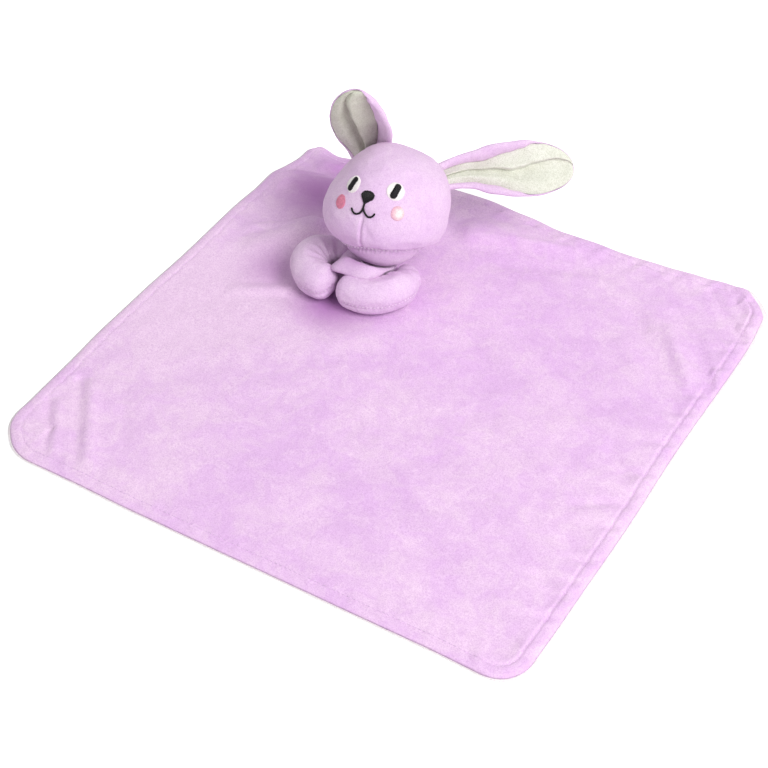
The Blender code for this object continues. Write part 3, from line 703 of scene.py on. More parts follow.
def ply_lines(middle_step, edge_step):
    """Grid lines, close together at the edge and stitching and wider in the middle."""
    edge = np.arange(0, FINE_EDGE, edge_step)
    inner = HALF - FINE_EDGE
    middle = np.linspace(-inner, inner, round(2 * inner / middle_step) + 1)
    return np.concatenate([-HALF + edge, middle, (HALF - edge)[::-1]])


def make_ply(name, lines, upper, lower, finish, grow=0.0, peek=0.0):
    """A closed sheet between two heights, given as functions of the place on the cloth."""
    x, y = np.meshgrid(lines, lines)
    laid_x, laid_y = laid_outline(x, y, grow, peek)
    sheets = [np.stack([laid_x, laid_y, h(x, y)], axis=-1).reshape(-1, 3) for h in (upper, lower)]
    uv = np.stack([x.ravel(), y.ravel()], axis=1) / SIDE + 0.5
    faces = closed_faces(len(lines), len(lines))
    made = make_object(name, np.concatenate(sheets), faces, finish, np.concatenate([uv, uv]))
    return tidy(made, 0.001 * MM)


top_ply = make_ply(
    "blanket_top", ply_lines(2.4 * MM, 0.75 * MM), top_height, under_top, LAVENDER
)
back_ply = make_ply(
    "blanket_back", ply_lines(5 * MM, 1.5 * MM), over_back, under_back, PALE_BACK,
    grow=0.9 * MM, peek=1.8 * MM,
)


def stitch_route(inset, count=420):
    """Points round the blanket at a distance from its edge, in its groove."""
    reach = HALF - inset
    s = np.linspace(0, 8 * reach, count, endpoint=False)
    side, t = (s // (2 * reach)).astype(int) % 4, s % (2 * reach) - reach
    far = np.full_like(t, reach)
    x, y = np.choose(side, [t, far, -t, -far]), np.choose(side, [-far, t, far, -t])
    laid_x, laid_y = laid_outline(x, y)
    return np.stack([laid_x, laid_y, top_height(x, y) + 0.1 * MM], axis=1)


edge_stitches = sew(
    "edge_stitches", [stitch_route(STITCH_INSET)], SEAM_THREAD, 3.1 * MM, 2.6 * MM, 0.55 * MM, True
)
for piece in (top_ply, back_ply, edge_stitches):
    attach(piece, "blanket")
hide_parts("blanket_top_ply")
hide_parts("blanket_back_ply")
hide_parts("edge_topstitch")
print("top ply:", len(top_ply.data.polygons), "faces")
print("edge stitches:", len(edge_stitches.data.polygons), "faces")

# %% [markdown]
# ## Stuffing a cover
#
# A stuffed piece is a cover blown up from within against its seams. Blender's Cloth does
# just that: the cover's mesh gets a little inner pressure and no gravity, and the points on
# its seams are pinned. The panels then bulge between the seams, and tiny gathers form beside
# them. A cap on how far any point may move keeps the piece in the space that its measured
# part holds.


# %% Inflate a cover between its pinned seams
CLOTH_SETTINGS = {
    "quality": 6, "mass": 0.15, "tension_stiffness": 12, "compression_stiffness": 12,
    "bending_stiffness": 0.4, "use_pressure": True, "uniform_pressure_force": 5,
}
CLOTH_FRAMES = 16


def stuff(obj, pinned, spare, cap):
    """Blows up a closed cover. pinned holds one number for each point: 1 on a seam, else 0.
    spare is how much larger than its measure the cloth is cut."""
    start = coordinates(obj)
    group = obj.vertex_groups.new(name="seams")
    for index in np.flatnonzero(pinned > 0.02):
        group.add([int(index)], float(min(pinned[index], 1)), "REPLACE")
    cloth = obj.modifiers.new("stuffing", "CLOTH")
    for key, value in CLOTH_SETTINGS.items():
        setattr(cloth.settings, key, value)
    cloth.settings.shrink_min = -spare
    cloth.settings.vertex_group_mass = "seams"
    cloth.settings.effector_weights.gravity = 0
    cloth.point_cache.frame_start = 1
    cloth.point_cache.frame_end = CLOTH_FRAMES
    for frame_number in range(1, CLOTH_FRAMES + 1):
        bpy.context.scene.frame_set(frame_number)
    apply_modifiers(obj)
    bpy.context.scene.frame_set(1)
    moved = coordinates(obj) - start
    far = np.linalg.norm(moved, axis=1)
    kept = np.where(far > cap, cap / np.maximum(far, 1e-9), 1)
    set_coordinates(obj, start + moved * kept[:, None])
    print(obj.name, "stuffed; points moved up to", round(min(far.max(), cap) / MM, 2), "mm")


# %% Press seams in, and find places on a finished skin
def ridge(away, width):
    """1 on a line, fading beside it."""
    return np.exp(-((away / width) ** 2))


def push(points, outward, by):
    """Points moved outwards, each by its own distance."""
    return points + outward * np.asarray(by)[:, None]


def skin_of(obj):
    faces = [tuple(face.vertices) for face in obj.data.polygons]
    return BVHTree.FromPolygons([tuple(p) for p in coordinates(obj)], faces)


def seat_on(skin, places, lift):
    """The nearest points of a skin, lifted a little off it."""
    hits = [skin.find_nearest(Vector(place)) for place in places]
    return [hit + normal * lift for hit, normal, _, _ in hits]


# %% [markdown]
# ## The head
#
# The head is a slightly flattened ball of stuffing, 80 mm wide, tilted back and turned a
# little to its left. Its cover has a face panel and a back panel, a dart that runs down from
# the mouth, and a small round base panel below the neck seam. The base is part of a sphere
# about the point that the head turns on, so that it stays seated whichever way it looks.
#
# A plain sphere has poles where the faces pinch. Here a cube is subdivided and blown up
# to a ball instead, which gives even faces all over for the simulation and for the pile.

# %% Head sizes and pose
HEAD_CENTRE = Vector((-50 * MM, 78 * MM, 58 * MM))
HEAD_RADIUS = 39.8 * MM
HEAD_HALF_HEIGHT = 36.2 * MM
NECK_RING_RADIUS = 25.5 * MM
NECK_LEAN = math.radians(10)
PIVOT_DROP = 12 * MM
CROWN_SEAM_BACK = 16.5 * MM
HEAD_POSE = (
    Matrix.Translation(HEAD_CENTRE)
    @ Matrix.Rotation(math.radians(9), 4, "Z")
    @ Matrix.Rotation(math.radians(-27), 4, "X")
)
NECK_PIVOT = HEAD_POSE @ Vector((0, 0, -PIVOT_DROP))
RING_DROP = HEAD_HALF_HEIGHT * math.sqrt(1 - (NECK_RING_RADIUS / HEAD_RADIUS) ** 2)
BASE_RADIUS = math.hypot(NECK_RING_RADIUS, RING_DROP - PIVOT_DROP)
RING_ANGLE = math.atan2(NECK_RING_RADIUS, RING_DROP - PIVOT_DROP)


def posed(points, pose):
    """An array of points moved by a matrix."""
    turned = np.array(pose.to_3x3())
    return np.asarray(points) @ turned.T + np.array(pose.translation)


# %% The head's ball and its seams
def ball_reach(ways, inset):
    """How far the head reaches from its centre along each way."""
    wide, tall = HEAD_RADIUS - inset, HEAD_HALF_HEIGHT - inset
    ball = 1 / np.sqrt((ways[:, 0] ** 2 + ways[:, 1] ** 2) / wide**2 + ways[:, 2] ** 2 / tall**2)
    drop = -ways[:, 2] * PIVOT_DROP
    base = BASE_RADIUS - inset
    seat = drop + np.sqrt(np.maximum(drop**2 - PIVOT_DROP**2 + base**2, 0))
    above = ease((neck_angle(ways * ball[:, None]) - RING_ANGLE) / math.radians(12))
    return np.maximum(ball + swelling(ways) * above, seat)


def swelling(ways):
    """Where the stuffing pushes the head out of round: full cheeks, and a flatter temple."""
    azimuth = np.degrees(np.arctan2(ways[:, 0], -ways[:, 1]))
    elevation = np.degrees(np.arcsin(np.clip(ways[:, 2], -1, 1)))

    def beside(middle, reach):
        return mound((np.mod(azimuth - middle + 180, 360) - 180) / reach)

    return MM * (
        3.0 * mound((elevation + 31) / 30)
        - 5.2 * beside(-67, 66) * mound((elevation - 30) / 46)
        + 1.6 * beside(113, 55) * mound((elevation - 36) / 36)
    )


def neck_angle(points):
    """The angle of each point from straight down, seen from the head's pivot. The seam is
    sewn a little lower on the head's right."""
    c, s = math.cos(NECK_LEAN), math.sin(NECK_LEAN)
    x, z = points[:, 0], points[:, 2] + PIVOT_DROP
    return np.arctan2(np.hypot(x * c + z * s, points[:, 1]), x * s - z * c)


def head_seams(points):
    """Distance of each point from the neck seam, the crown seam and the chin dart."""
    down = neck_angle(points)
    neck = np.abs(down - RING_ANGLE) * BASE_RADIUS
    above = down > RING_ANGLE
    crown = np.where(above, np.abs(points[:, 1] - CROWN_SEAM_BACK), 1)
    line = -1.2 * MM + 0.03 * points[:, 2]
    in_front = above & (points[:, 1] < 0) & (points[:, 2] < -1 * MM)
    dart = np.where(in_front, np.abs(points[:, 0] - line), 1)
    return neck, crown, dart


HEAD_INSET = 1.3 * MM


def make_head():
    """A ball with even faces, a little small, that is then stuffed and subdivided."""
    bm = bmesh.new()
    bmesh.ops.create_cube(bm, size=2)
    bmesh.ops.subdivide_edges(bm, edges=bm.edges[:], cuts=27, use_grid_fill=True)
    turned = np.tan(np.array([v.co for v in bm.verts]) * math.pi / 4)
    ways = turned / np.linalg.norm(turned, axis=1)[:, None]
    points = ways * ball_reach(ways, HEAD_INSET)[:, None]
    faces = [[v.index for v in f.verts] for f in bm.faces]
    bm.free()
    head = tidy(make_object("head_cover", points, faces, LAVENDER_SOFT))
    away = np.minimum.reduce(head_seams(coordinates(head)))
    stuff(head, ridge(away, 1.6 * MM), 0.02, 1.6 * MM)
    return subdivide(head, 2)


head = make_head()
print("head cover:", len(head.data.polygons), "faces")


# %% Press the head's seams in and round its surface
def shape_head(head):
    points, outward = coordinates(head), normals(head)
    points = push(points, outward, 0.35 * MM * lumps(points, 30 * MM, 11))
    points = push(points, outward, 0.12 * MM * lumps(points, 9 * MM, 12))
    neck, crown, dart = head_seams(points)
    fade = ease((-points[:, 2] - 1 * MM) / (8 * MM))
    # Each seam has its depth and its width, and the dart fades out upwards
    pressed_seams_and_painted_shade = 1.3 * MM * ridge(neck, 1.3 * MM) + 0.7 * MM * ridge(crown, 1.1 * MM)
    points = push(points, outward, -pressed_seams_and_painted_shade - 1.2 * MM * fade * ridge(dart, 0.9 * MM))
    around = np.arctan2(points[:, 0], -points[:, 1])
    gathers = np.cos(around * 46 + 2 * np.sin(3 * around)) * ridge(neck, 3.2 * MM)
    points = push(points, outward, 0.34 * MM * gathers)
    set_coordinates(head, posed(points, HEAD_POSE))


shape_head(head)

# %% [markdown]
# ## Things sewn on the head lie on its skin
#
# Once the head has its final shape, everything on it is placed by shooting a ray from outside
# towards the head's centre and taking the point that it meets. So the embroidery follows the
# soft, slightly uneven surface and neither floats nor sinks.

# %% Find places on the head's skin
HEAD_SKIN = skin_of(head)


def on_head(azimuth, elevation, lift=0.0):
    """The point of the skin at an azimuth and elevation from straight ahead, lifted off it."""
    way = HEAD_POSE.to_3x3() @ way_of(azimuth, elevation)
    return HEAD_SKIN.ray_cast(HEAD_CENTRE + way * 0.1, -way)[0] + way * lift


def on_face(place, across, up, lift=0.0):
    """A point beside a place on the face, a distance across and up."""
    return on_head(
        place[0] + across / (HEAD_RADIUS * math.cos(place[1])), place[1] + up / HEAD_RADIUS, lift
    )


# %% Neck seam stitches
def neck_line(count=120):
    """A ring round the neck's leaning axis, just above the seam and seated on the skin."""
    tilt, reach = RING_ANGLE + 0.085, BASE_RADIUS + 1.0 * MM
    out, down = reach * math.sin(tilt), -reach * math.cos(tilt)
    lean = Matrix.Rotation(-NECK_LEAN, 3, "Y")
    ring = []
    for a in np.linspace(0, 2 * math.pi, count, endpoint=False):
        place = lean @ Vector((out * math.sin(a), out * math.cos(a), down))
        ring.append(HEAD_POSE @ (place - Vector((0, 0, PIVOT_DROP))))
    return seat_on(HEAD_SKIN, ring, 0.35 * MM)


neck_stitches = sew(
    "neck_stitches", [neck_line()], PALE_SEAM_THREAD, 2.5 * MM, 1.7 * MM, 0.75 * MM, True
)
for piece in (head, neck_stitches):
    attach(piece, "head")
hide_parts("head_face_panel", "head_back_panel", "head_base_panel", "head_stuffing")
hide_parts("neck_seam_thread")

# %% [markdown]
# ## The embroidered face
#
# Eyes, nose, cheeks and mouth are satin stitch: strands of thread laid side by side over a
# little padding. Each shape is filled with parallel lines that follow the skin and rise a
# little towards the middle. The satin tree turns the lines into strands.

# %% Fill a shape with satin stitch
STRAND = 0.42 * MM
FUZZ = 0.25
TUCK = 0.35 * MM


def satin_fill(name, place, outline, slant, dome, material, lift=0.25 * MM):
    """Strands side by side across an outline on the face, risen in the middle to a dome."""
    chance = np.random.default_rng(len(name) * 7)
    turn_x, turn_y = math.cos(slant), math.sin(slant)
    corners = np.array(outline)
    across = corners @ np.array([turn_x, turn_y])
    along = corners @ np.array([-turn_y, turn_x])
    first, last = across.min(), across.max()
    span = last - first
    steps = max(int(span / (0.8 * STRAND)), 2)
    strands = []
    for k in range(steps):
        at = first + span * (k + 0.5) / steps
        cuts = []
        for i in range(len(corners)):
            j = (i + 1) % len(corners)
            if (across[i] - at) * (across[j] - at) < 0:
                share = (at - across[i]) / (across[j] - across[i])
                cuts.append(along[i] + (along[j] - along[i]) * share)
        if len(cuts) < 2:
            continue
        low = min(cuts) - chance.uniform(0, FUZZ) * MM
        high = max(cuts) + chance.uniform(0, FUZZ) * MM
        off = (at - (last + first) / 2) / (span / 2)
        crown = dome * math.sqrt(max(1 - off**2, 0))
        count = max(int((high - low) / (0.7 * MM)), 4)
        line = []
        for n in range(count + 1):
            t = n / count
            v = low + (high - low) * t
            rise = lift + crown * math.sin(math.pi * t) ** 0.6
            rise += chance.uniform(0, 0.03) * MM - (TUCK if n in (0, count) else 0)
            line.append(on_face(place, at * turn_x - v * turn_y, at * turn_y + v * turn_x, rise))
        strands.append(line)
    values = {"Strand Width": STRAND, "Thread": material}
    return run_tree(lines_object(name, strands), SATIN, values)


def oval(width, height, turns, count):
    """Points on an ellipse, or on the first part of one."""
    angles = np.linspace(0, 2 * math.pi * turns, count, endpoint=turns < 1)
    return [(width / 2 * math.cos(a), height / 2 * math.sin(a)) for a in angles]


def bar(width, height, lean):
    """An upright bar with round ends, leaning sideways."""
    top = [(x, y + (height - width) / 2) for x, y in oval(width, width, 0.5, 10)]
    c, s = math.cos(lean), math.sin(lean)
    return [(x * c + y * s, y * c - x * s) for x, y in top + [(-x, -y) for x, y in top]]


# A rounded nose with a short tip below, in millimetres
NOSE_OUTLINE = (
    (-4.3, 0.7), (-4.0, 2.2), (-2.8, 3.3), (-0.8, 3.8), (1.0, 3.8), (2.9, 3.2), (4.1, 2.0),
    (4.3, 0.5), (3.4, -1.1), (1.8, -2.2), (0.4, -3.4), (-0.8, -4.4), (-1.9, -4.0), (-2.5, -2.5),
    (-3.6, -1.0),
)


# %% Eyes, cheeks, nose and mouth
# On each side: azimuth and elevation of the eye and of the cheek, and the eye bar's lean
FACE = {
    "left": ((24.3, 20.9), (28.7, 1.7), 22),
    "right": ((-20.0, 19.4), (-28.5, 0.4), 17),
}
NOSE_PLACE = (math.radians(-0.4), math.radians(11.4))
MOUTH_PLACE = (math.radians(-2.4), math.radians(0.6))


def faded_thread(name, rim, middle, centre, radius):
    """Thread that pales towards the middle of a patch, in specks."""
    made = thread(name, rim)
    tree = made.node_tree
    base = tree.nodes["Principled BSDF"].inputs["Base Color"]
    place = object_place(tree)
    specks = stretch(tree, noise(tree, place, 1300, 2, 0.7), 0.30, 0.62)
    specks = calculate(tree, "ADD", calculate(tree, "MULTIPLY", specks, 0.6), 0.55)
    pale = near_place(tree, place, tuple(centre), radius, 1.25)
    share = calculate(tree, "MULTIPLY", pale, specks)
    tree.links.new(blend_colors(tree, share, base.links[0].from_socket, middle), base)
    return made


left_cheek = on_head(*(math.radians(a) for a in FACE["left"][1]))
toward_rim = (on_head(math.radians(36), math.radians(1.7)) - left_cheek).normalized()
FADED_PINK_THREAD = faded_thread(
    "faded_pink_thread", (0.80, 0.42, 0.55), (0.86, 0.80, 0.78),
    left_cheek + toward_rim * 0.9 * MM, 6.0 * MM,
)
DISC = oval(11.2 * MM, 11.2 * MM, 1, 40)
BLUSH = oval(8.2 * MM, 8.8 * MM, 1, 40)
face_pieces = []
for name, (eye, cheek, lean) in FACE.items():
    eye = tuple(math.radians(a) for a in eye)
    cheek = tuple(math.radians(a) for a in cheek)
    disc = satin_fill("eye_disc_" + name, eye, DISC, 0, 0.5 * MM, WHITE_THREAD)
    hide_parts("eye_" + name + "_patch")
    pupil_bar = bar(4.1 * MM, 9.8 * MM, math.radians(lean))
    pupil = satin_fill(
        "pupil_" + name, eye, pupil_bar, math.pi / 2, 0.35 * MM, BLACK_THREAD, 0.95 * MM
    )
    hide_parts("eye_" + name + "_pupil")
    pink = FADED_PINK_THREAD if name == "left" else PINK_THREAD
    blush = satin_fill("blush_" + name, cheek, BLUSH, 0.5, 0.3 * MM, pink)
    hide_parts("cheek_" + name)
    face_pieces += [disc, pupil, blush]

nose_shape = [(x * MM, y * MM) for x, y in NOSE_OUTLINE]
snout = satin_fill("snout", NOSE_PLACE, nose_shape, 0, 0.8 * MM, BLACK_THREAD)
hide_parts("nose")

# One half of the mouth, from its middle to its corner, in millimetres
MOUTH_CURL = (
    (0.0, 0.0), (0.9, -1.9), (2.1, -3.4), (3.8, -4.3), (5.5, -4.2), (6.9, -3.2), (7.6, -2.0),
)
MOUTH_STEM = 3.2 * MM
MOUTH_LIFT = 0.35 * MM


def mouth_line():
    """From one corner up to the middle and down to the other corner, in small steps."""
    half = np.array(MOUTH_CURL) * MM
    steps = np.linspace(0, len(half) - 1, 40)
    curl = np.stack([np.interp(steps, range(len(half)), half[:, k]) for k in (0, 1)], axis=1)
    line = list(curl[::-1] * (-1, 1)) + list(curl[1:])
    return [on_face(MOUTH_PLACE, x, y, MOUTH_LIFT) for x, y in line]


stem = [
    on_face(MOUTH_PLACE, 0.4 * MM * t, MOUTH_STEM * t, MOUTH_LIFT) for t in np.linspace(0, 1, 6)
]
smile = sew("smile", [mouth_line(), stem], BLACK_THREAD, 0.8 * MM, 1.9 * MM, 1.35 * MM)
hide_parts("mouth")
face_pieces += [snout, smile]
for piece in face_pieces:
    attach(piece, "head")
print("face:", sum(len(piece.data.polygons) for piece in face_pieces), "faces in thread")

# %% [markdown]
# ## The arms
#
# Each arm is a stuffed tube that curls round in front of the chest, with a round paw. It is
# cut from two panels, so a seam runs low along its outer side, round the paw and back. The
# rings of the tube follow a circular arc, and the seam's points stay pinned while the rest
# is stuffed.

# %% Arm sizes and rings
SHOULDER_RADIUS = 8.8 * MM
ARM_RADIUS = 12.5 * MM
ARM_REST = 4.2 * MM
ARM_SWELL = ((0.0, 0.0), (0.14, 0.5), (0.3, 0.92), (0.6, 1.0), (1.0, 0.96))
ARM_SEAM = math.radians(-14)


def arm_radius(share):
    return SHOULDER_RADIUS + (ARM_RADIUS - SHOULDER_RADIUS) * read_curve(ARM_SWELL, share)


def arm_stations(length, rings=44):
    """Places along the arm and the radius there, with a round shoulder and a blunt paw."""
    paw = float(arm_radius(1))
    cap = np.linspace(0, math.pi / 2, 12)
    first = np.stack([-SHOULDER_RADIUS * np.cos(cap), SHOULDER_RADIUS * np.sin(cap)], 1)[:-1]
    share = np.linspace(0, 1, rings)
    tube = np.stack([length * share, arm_radius(share)], 1)
    last = np.stack([length + 0.75 * paw * np.sin(cap), paw * np.cos(cap)], 1)[1:]
    return np.concatenate([first, tube, last])


def arm_centre(curve, along):
    """Points on the arm's centreline, and the way it heads there. curve is its start, the
    heading there, how far it turns and its length."""
    start, heading, turn, length = curve
    bend = turn / length
    inside = np.clip(along, 0, length)
    now = heading + bend * inside
    x = start[0] + (np.sin(now) - math.sin(heading)) / bend + np.cos(now) * (along - inside)
    y = start[1] - (np.cos(now) - math.cos(heading)) / bend + np.sin(now) * (along - inside)
    return x, y, now


def arm_points(curve, stations, angles, inset=0.0):
    """Rings of points. Angle 0 is on the outer side and a quarter turn is up."""
    along, radius = stations[:, :1], np.maximum(stations[:, 1:] - inset, 0)
    x, y, now = arm_centre(curve, along)
    height = ARM_REST + arm_radius(np.clip(along / curve[3], 0, 1))
    across, up = np.cos(angles)[None, :] * radius, np.sin(angles)[None, :] * radius
    return np.stack([x + np.sin(now) * across, y - np.cos(now) * across, height + up], axis=-1)


def arm_line(curve, stations, angle):
    """One line of points down the arm's surface."""
    return arm_points(curve, stations, np.array([angle]))[:, 0]


def arm_wrinkles(points, curve, depth):
    """Short folds across the inner side of the bend, and a flatter upper side."""
    along = np.linspace(0, curve[3], 60)
    x, y, now = arm_centre(curve, along)
    near = np.argmin(np.hypot(points[:, :1] - x[None], points[:, 1:2] - y[None]), axis=1)
    x, y, now, share = points[:, 0] - x[near], points[:, 1] - y[near], now[near], along[near]
    side = -np.sign(curve[2]) * (x * np.sin(now) - y * np.cos(now))
    folds = np.cos(share / (7.5 * MM) * 2 * math.pi + 1.2 * np.sin(points[:, 2] / (4 * MM)))
    share = share / curve[3]
    inner = ease(side / ARM_RADIUS + 0.35) * ease((share - 0.1) * 6) * ease((0.95 - share) * 6)
    return MM * depth * inner * (folds - 0.45)


# %% Make one arm with its seam stitches
ARM_INSET = 0.9 * MM


def make_arm(side, curve, wrinkle):
    """A stuffed arm and its stitches. wrinkle is the depth of its folds in millimetres."""
    stations = arm_stations(curve[3])
    angles = np.linspace(0, 2 * math.pi, 48, endpoint=False) + ARM_SEAM
    rings = arm_points(curve, stations, angles, ARM_INSET)
    faces = grid_faces(*rings.shape[:2], wrap=True)
    name = "arm_" + side + "_cover"
    arm = tidy(make_object(name, rings.reshape(-1, 3), faces, LAVENDER_SOFT))
    seam = [arm_line(curve, stations, angle) for angle in (ARM_SEAM, math.pi - ARM_SEAM)]
    seam = np.concatenate(seam)

    def from_seam(points):
        away = np.linalg.norm(points[:, None] - seam[None], axis=2)
        return away.min(axis=1), away.argmin(axis=1)

    away = from_seam(coordinates(arm))[0]
    stuff(arm, ridge(away - ARM_INSET, 1.2 * MM), 0.03, 1.3 * MM)
    subdivide(arm)
    points, outward = coordinates(arm), normals(arm)
    away = from_seam(points)[0]
    points = push(points, outward, 0.3 * MM * lumps(points, 16 * MM, 21 + len(side)))
    nearest = from_seam(points)[1]
    ticks = np.cos(nearest * 2.6 + 1.3 * np.sin(nearest * 0.9)) * ridge(away, 3 * MM)
    groove = 0.8 * MM * ridge(np.maximum(away - 0.3 * MM, 0), 1.0 * MM)
    points = push(points, outward, 0.16 * MM * ticks - groove)
    points = push(points, outward, arm_wrinkles(points, curve, wrinkle))
    points[:, 2] = np.maximum(points[:, 2], ARM_REST + 0.1 * MM)
    set_coordinates(arm, points)
    above = ARM_SEAM + 0.10
    route = [*arm_line(curve, stations, above)[9:-3]]
    route += [*arm_line(curve, stations, math.pi - above)[9:-3][::-1]]
    seated = seat_on(skin_of(arm), route, 0.1 * MM)
    name = "arm_" + side + "_stitches"
    stitches = sew(name, [seated], PALE_SEAM_THREAD, 2.3 * MM, 1.6 * MM, 0.5 * MM)
    for piece in (arm, stitches):
        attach(piece, "arm_" + side)
    nodes = ["arm_" + side + "_" + part for part in ("top_panel", "bottom_panel", "stuffing")]
    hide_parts(*nodes)
    return arm


CHEST_X, CHEST_Y = -54 * MM, 66 * MM
SHOULDER_OUT = 15.5 * MM + 0.3 * MM + SHOULDER_RADIUS  # chest, gap and shoulder
right_start, left_start = ((CHEST_X + side * SHOULDER_OUT, CHEST_Y) for side in (-1, 1))
right_arm = make_arm(
    "right", (right_start, math.radians(-158), math.radians(160), 46.8 * MM), 0.5
)
left_arm = make_arm(
    "left", (left_start, math.radians(-62), math.radians(-125), 46 * MM), 0.25
)
print("arms:", len(right_arm.data.polygons) + len(left_arm.data.polygons), "faces")

# %% [markdown]
# ## The chest
#
# Under the chin is a short stuffed body, gathered where it meets the blanket and hollowed
# where the head sits. It swells forward over the arms like a bib. The rows of a loft give
# that form, and where a row would enter the ball on which the head sits, it is held down to
# the ball. A voxel remesh then turns this rough form into one soft skin without hard edges,
# and gathers are pressed into it. The thin pad on which the head turns is remeshed too.


# %% One soft skin
def soft_skin(obj, voxel, smooth=6):
    """Remeshes an object into even small faces, and rounds its edges."""
    remesh = obj.modifiers.new("skin", "REMESH")
    remesh.mode = "VOXEL"
    remesh.voxel_size = voxel
    relax = obj.modifiers.new("relax", "SMOOTH")
    relax.factor = 0.5
    relax.iterations = smooth
    apply_modifiers(obj)
    obj.data.shade_smooth()
    return obj


def copy_of(node_name, name, finish):
    """A copy of a measured part with its doubled points merged."""
    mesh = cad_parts[node_name].data.copy()
    mesh.materials.clear()
    mesh.materials.append(finish)
    return tidy(add_object(name, mesh), 0.001 * MM)


# %% The chest
# Up the chest: height, front reach, and half width to its left and right, in millimetres
CHEST_ROWS = (
    (0.0, 15.4, 15.5, 15.5), (7.0, 15.8, 15.5, 15.5), (13.5, 17.2, 15.5, 15.5),
    (17.0, 20.5, 16.0, 15.4), (19.0, 24.0, 17.0, 16.4), (20.5, 27.6, 18.0, 17.6),
    (21.8, 30.4, 18.8, 18.6), (23.2, 32.0, 19.2, 19.2), (24.8, 32.2, 19.2, 19.2),
    (26.6, 31.0, 18.6, 18.4), (28.4, 28.6, 17.6, 17.0), (29.6, 25.6, 16.4, 15.6),
    (30.2, 22.0, 14.6, 13.4), (30.3, 16.0, 11.0, 10.0), (30.3, 8.0, 6.0, 6.0),
)
CHEST_CENTRE = Vector((CHEST_X, CHEST_Y, ARM_REST))
CHEST_BACK = 15.0
CHEST_COLUMNS = 72

# Above this height the rows are squarer than an ellipse, by this power
CHEST_SQUARE_FROM = 19
CHEST_SQUARENESS = 0.60

# How far the rows dip at the bunny's left and right, as a share of their height
CHEST_SLOPES = (0.03, 0.45)
SOCKET_RADIUS = BASE_RADIUS + 1.7 * MM


def make_chest():
    """A plump loft whose top is hollowed to the ball on which the head sits."""
    around = np.linspace(0, 2 * math.pi, CHEST_COLUMNS, endpoint=False)
    c, s = np.cos(around), np.sin(around)
    rows = []
    for height, front, left, right in CHEST_ROWS:
        power = CHEST_SQUARENESS if height > CHEST_SQUARE_FROM else 1
        wide = np.where(c > 0, left, right) * np.sign(c) * np.abs(c) ** power
        deep = np.where(s < 0, front, min(CHEST_BACK, front)) * np.sign(s) * np.abs(s) ** power
        x, y = CHEST_CENTRE.x + MM * wide, CHEST_CENTRE.y + MM * deep
        aside = np.hypot(x - NECK_PIVOT.x, y - NECK_PIVOT.y)
        seat = NECK_PIVOT.z - np.sqrt(np.maximum(SOCKET_RADIUS**2 - aside**2, 0))
        seat = np.where(aside < SOCKET_RADIUS, seat, 1)
        top = CHEST_CENTRE.z + MM * height * (1 - np.where(c > 0, *CHEST_SLOPES) * c**2)
        corner = 0.9 * MM * np.exp(-np.abs(top - seat) / (1.6 * MM))
        z = np.maximum(np.minimum(top, seat) - corner, CHEST_CENTRE.z)
        rows.append(np.stack([x, y, z], axis=1))
    points = np.concatenate(rows)
    end = range(len(points) - CHEST_COLUMNS, len(points))
    faces = grid_faces(len(rows), CHEST_COLUMNS, wrap=True)
    faces += [tuple(range(CHEST_COLUMNS))[::-1], tuple(end)]
    return soft_skin(make_object("chest_skin", points, faces, LAVENDER_SOFT), 0.9 * MM)


chest = make_chest()
points, outward = coordinates(chest), normals(chest)
around = np.arctan2(points[:, 0] - CHEST_X, CHEST_Y - points[:, 1])
pleats = np.cos(around * 17 + 1.5 * np.sin(4 * around)) * ridge(points[:, 2] - 4 * MM, 7 * MM)
pleats = 0.5 * MM * pleats + 0.3 * MM * lumps(points, 14 * MM, 31)
set_coordinates(chest, push(points, outward, pleats))
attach(chest, "blanket")
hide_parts("chest_cover", "chest_stuffing")

pad = soft_skin(copy_of("neck_wadding", "neck_pad", LAVENDER_SOFT), 0.6 * MM, 3)
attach(pad, "neck")
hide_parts("neck_wadding")
print("chest:", len(chest.data.polygons), "faces")

# %% [markdown]
# ## The ears
#
# Each ear is a leaf of lavender plush with a cream lining, turned out after sewing, so the
# lavender rolls over the lining's edge. It is folded double where it is sewn on and opens
# towards its tip. Between its edges the lining puffs up in two long halves with a crease
# down the middle. Rows of points run down the ear, and at each row a circular arc that gets
# flatter towards the tip gives the leaf its hollow.

# %% Ear sizes
EAR_LENGTH = 75.5 * MM
EAR_ROOT_WAY = (0.60, 0.68, 0.42)
EAR_WIDEST = 0.54
EAR_ROOT_SHARE = 0.17
EAR_ROOT_BALL = 9.67 * MM
EAR_SUNK = 14 * MM
LEAF_GAP = 0.1 * MM

# Half the angle through which the leaf is curled: share down the ear, degrees
EAR_CURL = ((0.0, 84), (0.12, 70), (0.3, 58), (0.7, 46), (1.0, 32))

